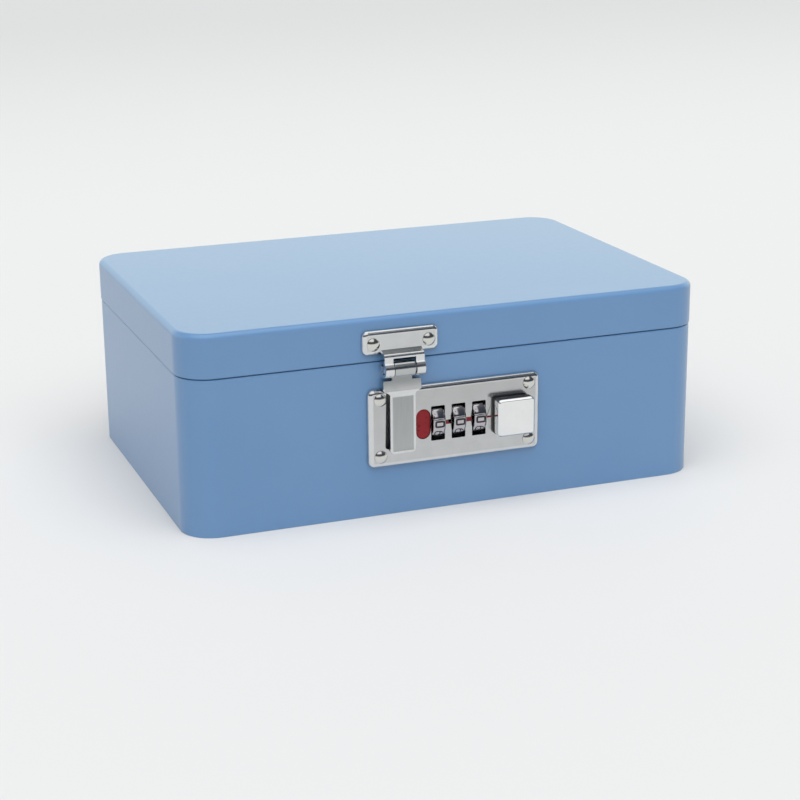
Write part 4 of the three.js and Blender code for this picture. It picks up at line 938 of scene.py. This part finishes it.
# The pieces that are out of sight or seen little keep the CAD's form. The core ends behind the cap.
covered = prism("cut_core", around(BUTTON_X, BUTTON_Z, BUTTON_LENGTH + 2, BUTTON_HEIGHT + 2), Y,
                PLATE_FACE - BUTTON_OUT - 1, PLATE_FACE - BUTTON_BASE)
copied("button_core", "moulded", "button", BLACK, 0.12, [covered])
copied("base_plate", "painted", "box", BLUE, 0)
copied("hasp_staple", "formed", "hasp", NICKEL, 0.15)
copied("hasp_pin", "plated", "lid", NICKEL, 0.1)
copied("lock_case", "pressed", "box", ZINC, 0.1)
for hand in ("left", "right"):
    copied(f"hinge_{hand}_body_leaf", "formed", "box", NICKEL, 0.1)
    copied(f"hinge_{hand}_lid_leaf", "formed", "lid", NICKEL, 0.1)
    copied(f"hinge_{hand}_pin", "drawn", "box", SPRING, 0.08)
    copied(f"bearing_rib_{hand}", "formed", "box", ZINC, 0.08)
for n in range(1, 4):
    copied(f"code_cam_{n}", "formed", f"wheel_{n}", ZINC, 0.06)
for body, leaf, step, side in (("box", "body", STEP, -1), ("lid", "lid", 0, 1)):
    places = [middle + across for middle in (-HINGE_X, HINGE_X) for across in (-HINGE_RIVET_X, HINGE_RIVET_X)]
    for n, x in enumerate(places, 1):
        rivet(body, f"hinge_{leaf}_rivet_{n}", (x, REAR - step + HINGE_LEAF, HINGE_Z + side * HINGE_RIVET_Z),
              HINGE_RIVET_HEAD, HINGE_RIVET_DOME, HINGE_RIVET_GRIP, -1)
copied("wheel_axle", "drawn", "box", SPRING, 0.05)
copied("detent_spring", "formed", "box", SPRING, 0.03)
copied("latch_bar", "stamped", "latch", ZINC, 0.1)
latch_spring()


# Floor, light and camera

def studio():
    """A pale floor, one wide soft light, and a surround: even for matt surfaces, pale to the camera,
    and for shiny ones white near the floor and overhead, with a dark band between."""
    world = bpy.data.worlds.new("surround")
    bpy.context.scene.world = world
    world.use_nodes = True
    tree = world.node_tree
    tree.nodes.clear()

    def background(colour, strength):
        made = tree.nodes.new("ShaderNodeBackground")
        made.inputs["Strength"].default_value = strength
        if isinstance(colour, tuple):
            made.inputs["Color"].default_value = (*colour, 1)
        else:
            tree.links.new(colour, made.inputs["Color"])
        return made.outputs[0]

    def chosen(amount, first, second):
        mix = tree.nodes.new("ShaderNodeMixShader")
        for key, value in enumerate((amount, first, second)):
            tree.links.new(value, mix.inputs[key])
        return mix.outputs[0]

    def ramp(value, start, end, kind="SMOOTHSTEP"):
        made = tree.nodes.new("ShaderNodeMapRange")
        made.interpolation_type = kind
        tree.links.new(value, made.inputs["Value"])
        made.inputs["From Min"].default_value, made.inputs["From Max"].default_value = start, end
        return made.outputs["Result"]

    def product(first, *others):
        for other in others:
            made = tree.nodes.new("ShaderNodeMath")
            made.operation = "MULTIPLY"
            tree.links.new(first, made.inputs[0])
            tree.links.new(other, made.inputs[1])
            first = made.outputs[0]
        return first

    def rising(height, stops):
        """Brightness by the sine of the elevation: grey levels, halved, over stops."""
        made = tree.nodes.new("ShaderNodeValToRGB")
        tree.links.new(height, made.inputs["Fac"])
        for i, (where, colour) in enumerate(stops):
            stop = made.color_ramp.elements[i] if i < 2 else made.color_ramp.elements.new(where)
            stop.position, stop.color = where, (*(c / 2 for c in colour), 1)
        return background(made.outputs["Color"], 2)

    def window(towards, inner, outer):
        """1 within the inner angle of a direction, in degrees, and 0 beyond the outer."""
        made = tree.nodes.new("ShaderNodeVectorMath")
        made.operation = "DOT_PRODUCT"
        tree.links.new(incoming, made.inputs[0])
        made.inputs[1].default_value = -Vector(towards).normalized()
        return ramp(made.outputs["Value"], math.cos(math.radians(outer)), math.cos(math.radians(inner)))

    path = tree.nodes.new("ShaderNodeLightPath")
    split = tree.nodes.new("ShaderNodeSeparateXYZ")
    incoming = tree.nodes.new("ShaderNodeNewGeometry").outputs["Incoming"]
    tree.links.new(incoming, split.inputs[0])
    height = ramp(split.outputs["Z"], 0, -1, "LINEAR")
    before = ramp(split.outputs["Y"], -0.15, 0.2)
    floor_white, low_white, dark = (0.9, 0.905, 0.91), (1.18, 1.26, 1.16), (0.06, 0.07, 0.09)
    overhead = [(0.896, (0.3, 0.3, 0.3)), (0.91, (1.2, 1.2, 1.2))]
    front = rising(height, [(0, floor_white), (0.03, floor_white), (0.12, dark), (0.5, dark),
                            (0.77, (0.09, 0.11, 0.14)), (0.88, (0.19, 0.19, 0.2)), *overhead])
    behind = rising(height, [(0, low_white), (0.42, low_white), (0.6, (0.35, 0.35, 0.37)),
                             (0.88, (0.16, 0.165, 0.18)), *overhead])
    room = chosen(before, behind, front)

    # A soft box in front, above half height and not to the right, and a small one to the right
    soft_box = background((1.0, 1.0, 1.0), 1)
    ahead = product(ramp(split.outputs["X"], -0.33, -0.27), ramp(height, 0.5, 0.6),
                    ramp(height, 0.93, 0.87))
    room = chosen(ahead, room, chosen(before, room, soft_box))
    room = chosen(window((0.85, 0.03, 0.52), 10, 14), room, soft_box)

    even = background((0.95, 0.97, 1.0), 0.43)
    pale = background((0.72, 0.72, 0.72), 1)
    lit = chosen(path.outputs["Is Glossy Ray"], even, room)
    out = tree.nodes.new("ShaderNodeOutputWorld")
    tree.links.new(chosen(path.outputs["Is Camera Ray"], lit, pale), out.inputs["Surface"])

    floor = bpy.data.meshes.new("floor")
    floor.from_pydata([(-6, -6, 0), (6, -6, 0), (6, 6, 0), (-6, 6, 0)], [], [(0, 1, 2, 3)])
    ground = added("floor", floor)
    board = Finish("floor", (0.69, 0.69, 0.685), 0.7, 0.0)
    # Painted shade: the floor's colour darkens further back, where the light falls off
    distance = board.part("Y").between(0.4, 1.7)
    board.set("Base Color", board.blend(distance, (0.69, 0.69, 0.685), (0.58, 0.58, 0.58)))
    floor.materials.append(board.material)

    key = bpy.data.lights.new("key", "SUN")
    key.angle, key.energy = math.radians(78), 2.95
    lamp = added("key", key)
    lamp.rotation_euler = Vector((0.12, 0.39, -0.91)).to_track_quat("-Z", "Y").to_euler()
    lamp.visible_glossy = False


def camera():
    """The photo's viewpoint, in millimetres, radians and pixels, from a fit to the box's edges."""
    eye = np.array([-244.1446, -664.7883, 237.8426])
    yaw, pitch, roll, focal, photo, sensor = 0.35860544, 0.29842265, -0.01016909, 1922.574, 800, 36
    forward = np.array([math.sin(yaw) * math.cos(pitch), math.cos(yaw) * math.cos(pitch), -math.sin(pitch)])
    right = np.array([math.cos(yaw), -math.sin(yaw), 0])
    up = np.cross(right, forward)
    across = math.cos(roll) * right + math.sin(roll) * up
    upright = -math.sin(roll) * right + math.cos(roll) * up
    data = bpy.data.cameras.new("camera")
    data.sensor_width = sensor
    data.lens = focal / photo * sensor
    data.clip_start, data.clip_end = 0.01, 50
    made = added("camera", data)
    turn = np.stack([across, upright, -forward], 1)
    made.matrix_world = Matrix([[*turn[i], eye[i] * MM] for i in range(3)] + [[0, 0, 0, 1]])
    bpy.context.scene.camera = made


studio()
camera()
bpy.context.scene.view_settings.view_transform = "Standard"
